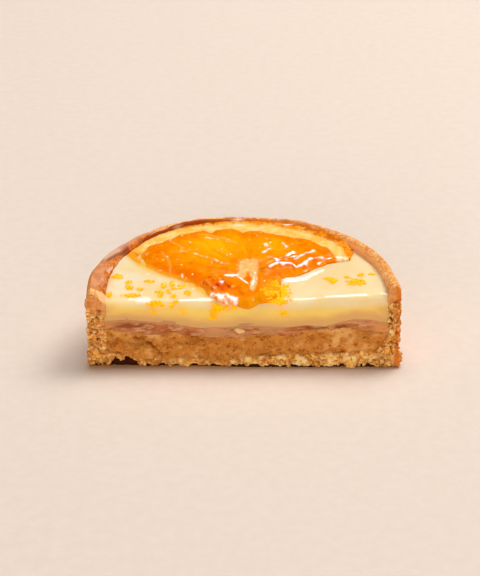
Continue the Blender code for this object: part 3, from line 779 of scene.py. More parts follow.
def rim_relief(points, cut, near, rim, crumbly, grain):
    """The rim: crumbly in patches and in a band along its inner edge at the left, a lip
    with a fold below it that is painted dark as its shade, and an inner edge that is
    browned, with a burnt line behind. Its glints and streaks are painted highlights, its
    front end at the left is painted darker as painted shade, and its inner edge at the
    right is painted paler as painted light."""
    x, y, z = points
    behind = y - CUT_Y
    share = share_behind(x, y)
    inwards = CASE_RADIUS - RIM_ROUND - np.hypot(x, y - MIDDLE_Y)
    ragged = inwards / (wall_thickness(share) - RIM_ROUND) + 0.16 * layered(x, y, z, 1.1, 75)
    high = smooth(z, 16, 18.5) * (1 - cut)
    left = 1 - smooth(share, *LEFT_ENDS)
    right = smooth(share, *RIGHT_STARTS)
    patches = 0.15 + 0.75 * smooth(noise(x, y, z, 4.0, 73), -0.4, 0.4)
    crumbled = rim * patches * smooth(np.abs(x + 37) - 6, -3, 2)
    band = high * left * smooth(ragged, 0.52, 0.72)
    lip = smooth(off_path(x, behind, LIP), 1.3, 0.7) * smooth(z, 18, 20) * (1 - cut)
    fold = high * near_paths(x, behind, (LIP_SHADOW,), 0.32)
    flake = spot(y, z, *FLAKE) * (1 - smooth(x, *FLAKE_X))
    height = 0.1 * rim * layered(x, y, z, 3.0, 71) + crumbled * (0.2 * crumbly + 0.28 * (grain - 0.2))
    height = height + band * (0.25 * crumbly + 0.3 * (grain - 0.3)) + 0.3 * lip - 0.3 * fold
    height = height + 0.7 * flake + 0.3 * near * (1 - cut) * (grain - 0.25)

    line = smooth(ragged, 0.76, 0.96) * (1 - smooth(ragged, 0.98, 1.15) * smooth(share, 0.5, 0.56))
    caught = smooth(ragged, 0.95, 1.15) * between(share, BACK_STARTS, RIGHT_STARTS)
    caught = caught + 0.4 * smooth(ragged, 0.7, 0.95) * between(share, RIGHT_STARTS, (0.85, 0.95))
    burnt = line * between(share, (0.22, 0.26), (0.6, 0.68)) * (1 - 0.6 * smooth(share, 0.4, 0.5))
    burnt = burnt + 1.5 * spot(x, behind, *BURNT)
    blotch = smooth(layered(x, y, z, 1.6, 77), -0.1, 0.4) * smooth(ragged, 0.35, 0.8)
    blotch = blotch * between(share, (0.5, 0.58), (0.72, 0.8))
    # White glints painted on the burnt line, and the rim's streaks, as painted highlights
    spark = dots(x, y, 0 * x, 0.9, 78, (0.3, 0.12), 0.5)
    spark = spark * high * line * between(share, LEFT_ENDS, (0.66, 0.72))
    streak = near_paths(x, behind, RIM_STREAKS, STREAK_WIDTH)
    streak = rim * streak * smooth(layered(x, y, z, 1.8, 79, 3), -0.35, 0.15)
    masks = {
        "bake": high * np.clip(caught + 0.8 * blotch, 0, 1),
        "caramel": high * np.clip(burnt + 0.25 * blotch, 0, 1),
        # The right rim's inner edge: partly its pinkish-tan colour, partly painted light that makes up for
        # the shade it sits in
        "inner": high * right * smooth(ragged, 0.8, 1.0),
        "band": band,
        "lip": lip * (1 - fold),
        # The fold under the lip is painted dark as its shade
        "fold": fold,
        # The rim's front end at the left is painted darker, as painted shade
        "brow": near * (1 - cut) * high * smooth(-x, 20, 30),
        "tan": rim * left * smooth(ragged, 0.0, 0.2),
        "spark": np.maximum(spark, 0.5 * streak),
        "sunny": smooth(share, 0.24, 0.34),
    }
    return height, masks


def case_relief(points, outward):
    """The cut face, the rim, and a smooth outside with a crumbly foot."""
    x, y, z = points
    cut = cut_share(y, outward, 0.35, 0.7)
    near = np.maximum(cut, 0.8 * fade_from_cut(y - 0.3, 0.8))
    rim = smooth(outward[2], 0.25, 0.7) * smooth(z, 15, 17) * (1 - cut)
    under = smooth(-outward[2], 0.5, 0.9) * (1 - smooth(z, 0.02, 0.4))
    coarse = layered(x, y, z, 3.1, 11, 4)
    crumbly = layered(x, y, z, 1.3, 15, 4)
    grain_far, grain_value = cells(x, y, z * 1.2, 1.15, 21)
    grain = smooth(grain_far, 0.8, 0.1) * grain_value

    raised_face, face_masks = face_relief(points, cut, near, coarse, crumbly, grain)
    raised_rim, rim_masks = rim_relief(points, cut, near, rim, crumbly, grain)
    foot = 1 - smooth(z, 0.3, 3.0)
    outside = 0.07 * layered(x, y, z, 4.0, 61) + 0.3 * foot * (grain - 0.25)
    height = raised_face + raised_rim + (1 - near) * (1 - rim) * outside
    return height * (1 - under), {"cut": cut, "rim": rim, **face_masks, **rim_masks}


ALMOND_LUMP = ((-24.5, 4.6), (5.5, 3.2))
ALMOND_BULGE = 0.8
ALMOND_CRACK = ((-27.0, 8.3), (-24.6, 7.7), (-22.9, 6.8), (-21.9, 5.4), (-20.9, 3.9), (-19.0, 3.7))
ALMOND_HOLE = ((22.8, 11.3), (0.8, 0.42))


def almond_relief(points, outward):
    """A moist crumb with pores, a lump at the left with a crack round it, and a hole."""
    x, y, z = points
    cut = cut_share(y, outward)
    crumb = layered(x / 1.3, y, z, 1.5, 81, 4)
    pore = dots(x / 1.5 + 0.3 * crumb, y, z + 0.3 * crumb, 1.05, 83, (0.4, 0.08), 0.68)
    seed = dots(x, y, z, 0.8, 85, (0.45, 0.1), 0.62)
    crack = near_paths(x + 0.3 * crumb, z + 0.5 * crumb, (ALMOND_CRACK,), 0.24)
    crack = crack * smooth(noise(x, y, z, 2.0, 87), -0.7, 0.1)
    hole = spot(x, z, *ALMOND_HOLE)
    fold = 1 - np.abs(layered(x / 2.2, y, z, 2.6, 94, 2))
    seam = smooth(fold, 0.86, 1.0) * smooth(noise(x, y, z, 4.0, 96), 0.0, 0.6)
    height = 0.4 * layered(x / 1.3, y, z, 3.4, 91, 3) + 0.36 * crumb + 0.15 * seed
    height = height + ALMOND_BULGE * spot(x, z, *ALMOND_LUMP)
    height = height - 0.35 * pore - 0.3 * seam - 0.9 * crack - 1.4 * hole
    dark = smooth(layered(x / 1.8, y, z, 3.6, 92, 3), 0.1, 0.9)
    # Pores, cracks, the hole and the seams are painted dark as their shade; the darker patches are the
    # sponge's own
    shade = np.clip(0.75 * pore + 0.7 * crack + hole + 0.4 * seam + 0.4 * dark, 0, 1)
    # Lighter where the crumb stands up, partly painted light on its tops, and on the almond bits
    light = 0.85 * smooth(crumb + 0.5 * layered(x / 1.5, y, z, 3.0, 98, 2), 0.0, 1.2)
    light = np.maximum(light, 0.55 * seed * (1 - dark))
    return cut * height, {"pit": shade * cut, "light": light * cut, "glint": 0.8 * seed * cut}


COMPOTE_CHUNK = ((-0.7, 10.3), (1.3, 0.9))
COMPOTE_PALE = ((21.5, 11.5), (3.5, 3.0))


def compote_relief(points, outward):
    """Soft folds and strands that run along the layer, and a pale piece of fruit."""
    x, y, z = points
    cut = cut_share(y, outward)
    tilt = z - 0.05 * x + 0.5 * noise(x, y, 0, 5.0, 100)
    fold = layered(x / 3.2, y, tilt, 1.1, 101, 4)
    strand = layered(x / 4.5, y, tilt, 0.9, 111, 4)
    crease = smooth(np.abs(strand), 0.3, 0.0)
    gap = smooth(layered(x / 2.8, y, tilt, 1.3, 115, 4), 0.0, 0.9)
    upper = smooth(z - face_height(x, COMPOTE_TOP, y) + 0.4 * fold, -1.3, -0.1)
    chunk = smooth(spot(x + 0.5 * strand, z + 0.4 * fold, *COMPOTE_CHUNK), 0.35, 0.6)
    height = (0.1 + 0.2 * fold + 0.08 * crease - 0.15 * gap) * (1 - 0.8 * upper) + 0.35 * chunk
    fade = smooth(np.abs(x), 31.0, 34.5)
    veil = layered(x / 2.6, y, z * 1.5 - 0.1 * x, 2.6, 119, 3) + spot(x, z, *COMPOTE_PALE)
    masks = {
        # The gaps, which sink a little, are painted dark as their shade
        "pit": gap * (1 - fade), "crease": crease, "fade": fade, "upper": upper,
        "veil": 0.8 * smooth(veil, -0.05, 0.7), "chunk": chunk,
    }
    return cut * height, masks


def zest_stain(x, y, z):
    """The colour that the zest gives the cream, as a bell about each clump."""
    stain = np.zeros_like(x)
    for place_x, place_behind, half_x, half_y in (*ZEST, (*ZEST_HEAP[0], *ZEST_HEAP[1])):
        clump_x, clump_y, clump_z = on_cream(np.float64(place_x), place_behind, 0)
        along_slope = np.hypot(y - clump_y, z - clump_z)
        size = (half_x + STAIN_REACH, half_y + STAIN_REACH)
        stain = np.maximum(stain, 0.45 * spot(x, along_slope, (clump_x, 0), size))
    return stain


def cream_relief(points, outward):
    """Nearly smooth, with a soft swell where it sits on the compote and a thin pool of
    syrup. It is yellow where cut, deepening down the rounded front as painted shade, with
    white painted highlights where it shines and a whitish painted sheen on its top at the left."""
    x, y, z = points
    behind = y - CUT_Y
    front = fade_from_cut(y - 1.5, 1.0)
    depth = cream_top(x, CUT_Y + CREAM_EDGE_DEPTH) - z
    wave = layered(x / 2.5, y, z, 1.5, 123, 2)
    lower = 0.9 * smooth(x, 4, 14) + 0.7 * bell(x + 9, 4) + 0.5 * smooth(x, 18, 27)
    # The cut face's deeper yellow, deepened down the rounded front as painted shade
    yellow = smooth(depth + 0.3 * wave - lower, 0.1, 2.4) * front
    above_compote = z - face_height(x, COMPOTE_TOP, y) + 0.4 * wave
    blend = (1 - smooth(above_compote, 0.4, 3.1 + 0.7 * bell(x, 12))) * front
    blend = np.maximum(blend, 0.75 * smooth(np.abs(x - 0.7), 30.5, 35.5) * yellow)
    pool = off_path(x, behind, POOL) / np.interp(x, *POOL_WIDTHS)
    pool = pool + 0.3 * layered(x, behind, 0 * x, 1.6, 129, 2)
    height = 0.16 * noise(x / 2, y, z, 3.0, 121) * front + 0.02 * noise(x, y, z, 2.0, 122)
    height = height + POOL_HEIGHT * smooth(pool, 1.2, 0.2) * (1 - front)

    # White painted highlights: on the pool of syrup, in strokes along the rounded edge, and in small round
    # glints
    wet = 0.95 * smooth(pool, 1.15, 0.6) * (1 - front)
    gloss = 0.7 * smooth(behind, 3.6, 6.0)
    uneven = 0.35 * layered(x / 2, y, z, 1.5, 125, 2)
    for path, width in CREAM_STROKES:
        far = off_path(x, z + SLANT * behind, path)
        wet = np.maximum(wet, 0.9 * smooth(far / width + uneven, 1.7, 0.3))
        gloss = np.maximum(gloss, 0.25 * smooth(far, width + 0.4, 0.5 * width))
    for spark_x, spark_behind, size in CREAM_SPARKS:
        wet = np.maximum(wet, 0.8 * spot(x, behind, (spark_x, spark_behind), (size, size)))
    # A whitish painted sheen on the top at the left, standing in for a reflection
    pale = smooth(layered(x / 1.5, behind + 0.4 * x, 0 * x, 4.0, 127, 2), -0.2, 0.6)
    glow = near_paths(x, behind, (FAN_LEFT_EDGE,), 1.6) * smooth(outward[2], 0.3, 0.8)
    return height, {
        "pale": 0.7 * pale * smooth(x, -4, -12) * (1 - yellow), "front": yellow, "blend": blend,
        "stain": zest_stain(x, y, z), "glow": glow, "gloss": gloss, "wet": wet,
    }


# Patches of the flesh: place and half size
AMBER = ((-7.5, 25.0), (9.0, 8.5))
AMBER_RIGHT = ((8.0, 25.0), (6.0, 5.0))
RED = ((-6.2, 5.8), (2.6, 1.9))
PULP = ((8.2, 4.8), (3.0, 3.8))
PULP_TIP = ((2.2, 0.6), (3.6, 2.2))
# A deeper band along its left side
DEEP = ((-20.0, 13.6), (-14.0, 10.8), (-9.2, 7.0))
# The left corner's two patches: of thin yellow flesh, and of burnt syrup
CORNER_PALE = ((-29.0, 22.6), (2.2, 2.4))
CORNER_BURNT = ((-28.6, 22.6), (1.7, 1.7))
# The rolled edge of the right segment, dark folds near the tip, and pale skins
SHOULDER = (
    (6.0, 12.0), (7.6, 13.4), (9.1, 14.7), (12.3, 14.7), (13.7, 13.5), (15.6, 15.3), (17.6, 17.6),
    (20.2, 18.7),
)
SHOULDER_HEIGHT = 0.55
DARK_FOLDS = (
    ((-8.4, 9.4), (-6.8, 6.9), (-5.2, 4.4)), ((-6.4, 9.9), (-4.8, 7.9), (-3.4, 5.6)),
    ((-9.9, 7.6), (-7.6, 4.4)),
)
SKINS = (
    ((-20.6, 21.8), (-19.2, 18.5), (-18.6, 15.3), (-18.5, 12.8)),
    ((-12.8, 20.8), (-10.1, 19.0), (-7.6, 17.6), (-5.2, 15.4), (-3.4, 15.4)),
    ((-9.2, 8.1), (-7.7, 5.6), (-6.1, 3.5), (-5.1, 2.0)),
    ((-11.7, 6.6), (-9.4, 4.6), (-7.1, 3.2), (-5.9, 2.5)),
    ((-11.7, 31.8), (-5.6, 30.9), (-3.5, 28.6), (-1.6, 26.8)),
    ((-19.2, 28.1), (-16.2, 25.2), (-15.6, 21.9)),
)
# Where syrup stands on the flesh, with white painted on as its highlight: paths, their half
# widths and strengths
SYRUP_STREAKS = (
    (((7.0, 13.2), (9.1, 14.6), (12.3, 14.7), (13.7, 13.6), (15.6, 15.3), (17.6, 17.5), (20.6, 18.4)),
     0.5, 1.1),
    (((7.1, 18.5), (9.2, 17.4), (11.3, 19.6), (13.1, 21.8)), 0.6, 0.8),
    (((8.0, 16.0), (11.0, 17.2), (13.6, 19.2)), 0.5, 0.7),
    (((13.4, 17.4), (15.6, 19.6)), 0.4, 0.7),
    (((5.6, 21.4), (7.6, 23.6)), 0.6, 0.7),
    (((16.2, 20.4), (18.6, 21.6)), 0.4, 0.7),
    (((19.6, 16.6), (23.2, 19.6)), 0.25, 0.6),
    (((10.6, 26.6), (11.6, 24.9), (11.1, 23.1)), 0.4, 0.7),
    (((5.1, 24.3), (6.5, 26.6), (7.5, 27.2)), 0.7, 0.6),
    (((-12.8, 20.8), (-10.1, 19.0), (-7.6, 17.6), (-5.2, 15.6)), 0.3, 0.45),
    (((-9.4, 29.6), (-6.4, 29.4), (-3.0, 27.4)), 0.35, 0.5),
    (((2.6, 6.0), (3.0, 8.5), (3.2, 11.0)), 0.5, 0.9),
    (((-1.0, 9.0), (0.6, 7.6), (1.4, 6.6)), 0.25, 0.8),
    (((-20.0, 27.2), (-18.6, 28.2)), 0.35, 0.7),
)
SYRUP_PATCHES = (
    ((-4.2, 1.6), (3.1, 1.6), 0.85), ((-7.4, 2.9), (1.8, 0.8), 0.8), ((-5.3, 7.6), (1.2, 0.7), 0.6),
    ((-3.0, 10.0), (2.0, 0.8), 0.9), ((25.4, 19.4), (1.9, 1.2), 0.9), ((-15.3, 11.4), (0.5, 0.9), 0.8),
    ((12.0, 37.3), (1.8, 0.5), 0.8), ((-1.0, 38.2), (2.2, 0.4), 0.6), ((18.3, 22.6), (0.7, 0.7), 0.7),
)
# The core's body, and the two prongs at its front
CORE = ((1.5, 14.6), (2.5, 3.4))
CORE_PRONGS = (
    ((0.2, 13.0), (-0.1, 11.0), (-0.3, 9.2)), ((2.9, 13.0), (3.0, 9.5), (3.0, 8.0), (2.5, 4.8)))


def standing_syrup(x, behind):
    """How thick the syrup stands: the most that a streak or a flat-topped patch gives."""
    streaks = [strength * bell(off_path(x, behind, path), width) for path, width, strength in SYRUP_STREAKS]
    patches = [strength * spot(x, behind, place, size, 2) for place, size, strength in SYRUP_PATCHES]
    return np.maximum.reduce(streaks + patches)


def orange_relief(points, outward):
    """Juice sacs point from the core to the rind, skins stand between them, and the glazed
    surface is wrinkled, with beads of syrup. Where syrup stands, white is painted on as its
    highlight, and the beads are painted white as glints."""
    x, y, _ = points
    behind = y - CUT_Y
    flat = 0 * x
    flesh, rind, _, from_rind = fan_parts(x, behind)
    away = np.hypot(x - FAN_CORE[0], behind - FAN_CORE[1])
    angle = np.arctan2(behind - FAN_CORE[1], x - FAN_CORE[0])
    fibre = noise(angle * 12, away / 6, flat, 1.0, 131) + 0.6 * noise(angle * 27, away / 4, flat, 1.0, 132)
    wrinkle = layered(x, y, flat, 2.6, 141, 2)
    ripple = layered(x / 1.4, y, flat, 1.2, 145, 2)
    tip = 1 - smooth(behind, 3, 9)
    right = smooth(x - 0.3 * behind, -4, 3)
    core = core_mask(x, behind)
    skin = near_paths(x, behind, SKINS, 0.4)
    dark = near_paths(x, behind, DARK_FOLDS, 0.32) * smooth(layered(x, y, flat, 1.2, 153, 2), -0.4, 0.2)
    syrup = standing_syrup(x, behind)
    bare = 0.5 - 0.4 * smooth(from_rind, 2.5, 1.0)
    # Small raised beads, painted white as glints
    bead = dots(x, y, flat, 2.2, 149, (0.13, 0.05), bare)
    height = 0.03 * fibre + 0.16 * wrinkle * (1 + tip) + (0.03 + 0.08 * right + 0.14 * tip) * ripple
    height = flesh * (height + 0.1 * skin) + (1 - flesh) * 0.1 * layered(x, y, flat, 1.5, 151)
    height = height + SHOULDER_HEIGHT * near_paths(x, behind, (SHOULDER,), 0.95)
    height = height + 0.22 * syrup + 0.1 * bead - 0.2 * dark
    height = height * (1 - 0.7 * core) + 0.2 * core

    burnt = 0.2 + 0.35 * (1 - smooth(x, -4, 6)) - from_rind + 0.5 * layered(x, y, flat, 1.3, 155)
    burnt_rind = 0.8 * rind * smooth(layered(x, y, flat, 2.0, 157), 0.15, 0.6) * smooth(x, 2, 10)
    burnt_corner = smooth(spot(x, behind, *CORNER_BURNT) + 0.4 * wrinkle, 0.35, 0.8)
    # Paler thin flesh along the left edge and at the corner, partly a painted glow of the light that comes
    # through it
    edge = near_paths(x, behind, (FAN_LEFT_EDGE,), 0.9) + spot(x, behind, *CORNER_PALE)
    amber = spot(x, behind, *AMBER) + 0.7 * spot(x, behind, *AMBER_RIGHT)
    pulp = spot(x, behind, *PULP) + 0.75 * spot(x, behind, *PULP_TIP)
    gloss = smooth(syrup, 0.2, 0.55) + bead + 0.12 * flesh * (1 - tip)
    masks = {
        "flesh": flesh, "rind": rind, "core": core, "skin": skin * flesh, "dark": dark, "bead": bead,
        "outer": smooth(round_edge(x, behind, FLESH_EDGE) + 0.8 * wrinkle, 4.2, 0.5),
        # Where syrup stands, white is painted on as its highlight
        "wet": smooth(syrup + 0.45 * layered(x, y, flat, 1.3, 147, 3), 0.4, 0.95),
        "amber": np.clip(amber, 0, 1), "pulp": np.clip(pulp, 0, 1),
        "deep": near_paths(x, behind, (DEEP,), 2.4), "red": spot(x, behind, *RED),
        "caramel": np.maximum.reduce([smooth(burnt, 0.0, 0.7), burnt_rind, burnt_corner]),
        "edge": np.clip(edge, 0, 1), "gloss": np.clip(gloss, 0, 1),
        "fibre": smooth(fibre, -0.6, 0.9) * smooth(away, 3, 8) * flesh,
    }
    return smooth(outward[2], 0.05, 0.5) * height, masks


def core_mask(x, behind):
    """The pale core: broad at its back end, as a square oval, with two prongs at its front."""
    uneven = 0.25 * layered(x, behind, 0 * x, 1.2, 163)
    (middle_x, middle_behind), (half_x, half_y) = CORE
    away_x = np.abs(x - middle_x - uneven) / half_x
    away_y = np.abs(behind - middle_behind + uneven) / half_y
    body = (away_x**4 + away_y**4) ** 0.25
    thin = np.minimum(*(off_path(x, behind, path) / (0.45 + 0.05 * behind) for path in CORE_PRONGS))
    clear = smooth(behind, 20.0, 15.5)
    return np.clip(1 - smooth(np.minimum(body, thin + uneven), 0.7, 1.25), 0, 1) * (0.35 + 0.65 * clear)


# --- finishes ------------------------------------------------------------------------


def tint(red, green, blue):
    """A colour as it shows on a screen, from 0 to 255, turned to linear light."""
    shown = np.array((red, green, blue)) / 255
    linear = np.where(shown > 0.04045, ((shown + 0.055) / 1.055) ** 2.4, shown / 12.92)
    return (*linear.tolist(), 1.0)


def put(tree, kind, settings=None, **inputs):
    """Adds a node. An input is a value or another node's output; _ in a name is a space."""
    node = tree.nodes.new("ShaderNode" + kind)
    for key, value in (settings or {}).items():
        setattr(node, key, value)
    for key, value in inputs.items():
        socket = node.inputs[int(key[1:]) if key[1:].isdigit() else key.replace("_", " ")]
        if isinstance(value, bpy.types.NodeSocket):
            tree.links.new(value, socket)
        else:
            socket.default_value = value
    return node


def mix(tree, share, first, second):
    """The first colour where the share is 0 and the second where it is 1."""
    return put(tree, "Mix", {"data_type": "RGBA"}, _0=share, _6=first, _7=second).outputs[2]


def measure(tree):
    """The place on the object, in millimetres."""
    place = put(tree, "TexCoord").outputs["Object"]
    return put(tree, "VectorMath", {"operation": "SCALE"}, _0=place, Scale=1 / MM).outputs[0]


def painted(tree, name):
    """The values that were kept on the mesh by that name."""
    return put(tree, "Attribute", {"attribute_name": name}).outputs["Fac"]


def overlaid(tree, shown, **layers):
    """Colours laid on one after the other, each through the painted values of its name."""
    for name, colour in layers.items():
        shown = mix(tree, painted(tree, name), shown, colour)
    return shown


def ranged(tree, value, low, high):
    """0 below low, 1 above high, and an S curve between."""
    settings = {"interpolation_type": "SMOOTHSTEP"}
    return put(tree, "MapRange", settings, Value=value, From_Min=low, From_Max=high).outputs["Result"]


def new_group(name, inputs, output):
    """A group for one effect. Its first input is its size in millimetres, of which the
    textures take the inverse as their scale."""
    tree = bpy.data.node_groups.new(name, "ShaderNodeTree")
    for key, value in inputs.items():
        socket = tree.interface.new_socket(key, in_out="INPUT", socket_type="NodeSocketFloat")
        socket.default_value = value
    tree.interface.new_socket(output, in_out="OUTPUT", socket_type="NodeSocketFloat")
    given = tree.nodes.new("NodeGroupInput").outputs
    scale = put(tree, "Math", {"operation": "DIVIDE"}, _0=1.0, _1=given["Size"]).outputs[0]
    return tree, given, scale, tree.nodes.new("NodeGroupOutput").inputs[output]


def make_mottling():
    """Patches of one detailed noise, cut to a mask between Low and High."""
    tree, given, scale, out = new_group("mottling", {"Size": 3.0, "Low": 0.4, "High": 0.6}, "Mask")
    patches = put(tree, "TexNoise", Vector=measure(tree), Scale=scale, Detail=5.0, Roughness=0.6)
    tree.links.new(ranged(tree, patches.outputs["Fac"], given["Low"], given["High"]), out)
    return tree


def make_crumb():
    """Fine pastry grain: a cell pattern for the grains, and noise over it."""
    tree, _, scale, out = new_group("crumb", {"Size": 0.5}, "Height")
    place = measure(tree)
    grains = put(tree, "TexVoronoi", Vector=place, Scale=scale).outputs["Distance"]
    rough = put(tree, "TexNoise", Vector=place, Scale=scale, Detail=6.0, Roughness=0.7).outputs["Fac"]
    height = put(tree, "Math", {"operation": "MULTIPLY_ADD"}, _0=grains, _1=-0.7, _2=rough)
    tree.links.new(height.outputs[0], out)
    return tree


def make_ripple():
    """A glazed, wrinkled surface: noise that is bent by itself."""
    tree, _, scale, out = new_group("ripple", {"Size": 2.0}, "Height")
    waves = put(
        tree, "TexNoise", Vector=measure(tree), Scale=scale, Detail=3.0, Roughness=0.5, Distortion=0.8)
    tree.links.new(waves.outputs["Fac"], out)
    return tree


MOTTLING, CRUMB, RIPPLE = make_mottling(), make_crumb(), make_ripple()


def use(tree, group, **inputs):
    """The one output of an effect that is placed with its own values."""
    node = tree.nodes.new("ShaderNodeGroup")
    node.node_tree = group
    for key, value in inputs.items():
        node.inputs[key].default_value = value
    return node.outputs[0]


def mottled(tree, size, low, high):
    """A mask of patches."""
    return use(tree, MOTTLING, Size=size, Low=low, High=high)


def new_finish(name, soft, **values):
    """A material, its node tree and its surface shader with the values that are the same
    all over. soft says how much light goes in below the surface, how far in millimetres,
    and how much of that way its red, green and blue go."""
    made = bpy.data.materials.new(name)
    made.use_nodes = True
    surface = made.node_tree.nodes["Principled BSDF"]
    weight, reach, shares = soft
    values.update(Subsurface_Weight=weight, Subsurface_Scale=reach * MM, Subsurface_Radius=shares)
    for key, value in values.items():
        surface.inputs[key.replace("_", " ")].default_value = value
    return made, made.node_tree, surface


def set_looks(tree, surface, **sockets):
    """Feeds sockets of the surface shader with colours or masks."""
    for name, value in sockets.items():
        tree.links.new(value, surface.inputs[name.replace("_", " ")])


def raise_surface(tree, surface, height, depth, strength):
    """Bumps the surface by a height of 0 to 1, which stands for a depth in millimetres."""
    bump = put(tree, "Bump", Height=height, Distance=depth * MM, Strength=strength)
    set_looks(tree, surface, Normal=bump.outputs["Normal"])


def pastry_finish():
    """Golden-brown outside, paler on the rim, dark where it caught on the inside, and an
    ochre crumb where cut, its pits and hollows painted dark as their shade and its raised
    grains painted lighter, partly as painted light."""
    made, tree, surface = new_finish(
        "baked pastry", (0.12, 1.0, (1.0, 0.5, 0.25)), Specular_IOR_Level=0.02)
    patches = mottled(tree, 7.0, 0.38, 0.62)
    freckles = mottled(tree, 0.9, 0.45, 0.7)
    rim_patches = mottled(tree, 3.0, 0.42, 0.58)
    rim_fine = mottled(tree, 0.7, 0.42, 0.6)
    rim_grains = mottled(tree, 1.5, 0.5, 0.62)
    crumb_patches = mottled(tree, 1.2, 0.38, 0.62)

    outside = mix(tree, patches, tint(214, 138, 70), tint(234, 162, 92))
    outside = mix(tree, freckles, outside, tint(204, 124, 58))
    rim = mix(tree, rim_patches, tint(222, 140, 78), tint(236, 160, 100))
    rim = mix(tree, freckles, rim, tint(216, 124, 56))
    rim = overlaid(tree, rim, sunny=mix(tree, rim_fine, tint(240, 154, 74), tint(254, 206, 136)))
    rim = mix(tree, rim_grains, rim, mix(tree, rim_fine, tint(228, 136, 64), tint(244, 166, 92)))
    inside = overlaid(
        tree, mix(tree, crumb_patches, tint(232, 146, 60), tint(250, 180, 90)),
        low=mix(tree, crumb_patches, tint(236, 160, 62), tint(255, 208, 106)),
        moist=mix(tree, crumb_patches, tint(200, 122, 44), tint(230, 160, 78)),
        # Painted light on the right wall's crumb
        right=mix(tree, crumb_patches, tint(255, 180, 78), tint(255, 206, 112)),
        # Paler raised grains, partly painted light
        light=tint(255, 222, 162),
        facet=mix(tree, crumb_patches, tint(214, 134, 74), tint(234, 160, 92)),
        shell=tint(222, 124, 44),
    )
    shown = overlaid(
        tree, outside,
        rim=rim,
        tan=mix(tree, rim_patches, tint(208, 132, 84), tint(224, 152, 104)),
        band=mix(tree, rim_fine, tint(192, 92, 22), tint(236, 142, 54)),
        # Painted shade on the rim's front end
        brow=mix(tree, rim_fine, tint(176, 100, 46), tint(206, 134, 74)),
        # Painted light on the right rim's inner edge
        inner=tint(252, 194, 138),
        lip=tint(226, 178, 148),
        bake=tint(238, 142, 48),
        caramel=tint(162, 72, 20),
        # Painted shade in the fold under the lip
        fold=tint(140, 76, 46),
        # Painted highlights on the rim
        spark=tint(255, 232, 214),
        cut=inside,
        joint=tint(226, 160, 100),
        # Painted shade in the pits and hollows of the cut
        pit=tint(150, 54, 2),
        # Painted shade in the undercut at the foot of the cut
        undercut=tint(66, 28, 8),
    )
    rough = put(tree, "MapRange", Value=painted(tree, "cut"), To_Min=0.5, To_Max=0.7)
    set_looks(tree, surface, Base_Color=shown, Roughness=rough.outputs["Result"])
    raise_surface(tree, surface, use(tree, CRUMB, Size=0.55), 0.14, 0.5)
    return made


def almond_finish():
    """A moist tan sponge, mottled, with its pores and cracks painted dark as their shade
    and its raised crumbs painted lighter, partly as painted light.
    """
    made, tree, surface = new_finish(
        "almond sponge", (0.2, 1.0, (1.0, 0.5, 0.25)),
        Roughness=0.6, Specular_IOR_Level=0.03, Coat_Roughness=0.12)
    shown = mix(tree, mottled(tree, 2.6, 0.36, 0.62), tint(178, 98, 26), tint(212, 142, 62))
    shown = mix(tree, mottled(tree, 0.6, 0.42, 0.62), shown, tint(212, 136, 60))
    # Raised crumbs painted lighter, partly as painted light, and pores and cracks painted dark as their
    # shade
    shown = overlaid(tree, shown, light=tint(238, 178, 104), pit=tint(140, 62, 6))
    set_looks(tree, surface, Base_Color=shown, Coat_Weight=painted(tree, "glint"))
    raise_surface(tree, surface, use(tree, CRUMB, Size=0.5), 0.2, 0.9)
    return made


def compote_finish():
    """Pinkish-brown fruit with paler creases, painted darker in its gaps as their shade, and
    milky where the cream has run into it."""
    made, tree, surface = new_finish(
        "fruit compote", (0.3, 1.5, (1.0, 0.45, 0.3)),
        Roughness=0.35, Specular_IOR_Level=0.08, Coat_Roughness=0.12)
    shown = overlaid(
        tree, mix(tree, mottled(tree, 3.0, 0.36, 0.64), tint(172, 92, 46), tint(198, 124, 72)),
        crease=tint(216, 156, 108),
        # Painted shade in the gaps
        pit=tint(150, 76, 36),
        veil=tint(210, 150, 95),
        fade=tint(216, 145, 82),
        upper=tint(210, 148, 92),
        chunk=tint(236, 194, 130),
    )
    set_looks(tree, surface, Base_Color=shown, Coat_Weight=painted(tree, "crease"))
    raise_surface(tree, surface, use(tree, RIPPLE, Size=0.8), 0.2, 0.5)
    return made


def cream_finish():
    """Ivory on top, with a whitish painted sheen at the left, a deeper yellow where cut that
    deepens down the rounded front as painted shade, tinged by the compote below and by the
    zest that lies on it, and white painted highlights where it shines."""
    made, tree, surface = new_finish(
        "lemon cream", (0.5, 2.5, (1.0, 0.85, 0.6)),
        Roughness=0.6, Specular_IOR_Level=0.0, Coat_Roughness=0.18, Coat_IOR=1.4)
    shown = overlaid(
        tree, mix(tree, mottled(tree, 9.0, 0.35, 0.65), tint(244, 214, 156), tint(247, 222, 174)),
        # Painted sheen
        pale=tint(243, 230, 200),
        # The cut's yellow, deepened down the front as painted shade
        front=tint(255, 214, 112),
        blend=tint(228, 174, 108),
        glow=tint(255, 188, 70),
        stain=tint(255, 200, 70),
        # Painted highlights
        wet=tint(255, 244, 228),
    )
    set_looks(tree, surface, Base_Color=shown, Coat_Weight=painted(tree, "gloss"))
    raise_surface(tree, surface, use(tree, RIPPLE, Size=5.0), 0.15, 0.3)
    return made


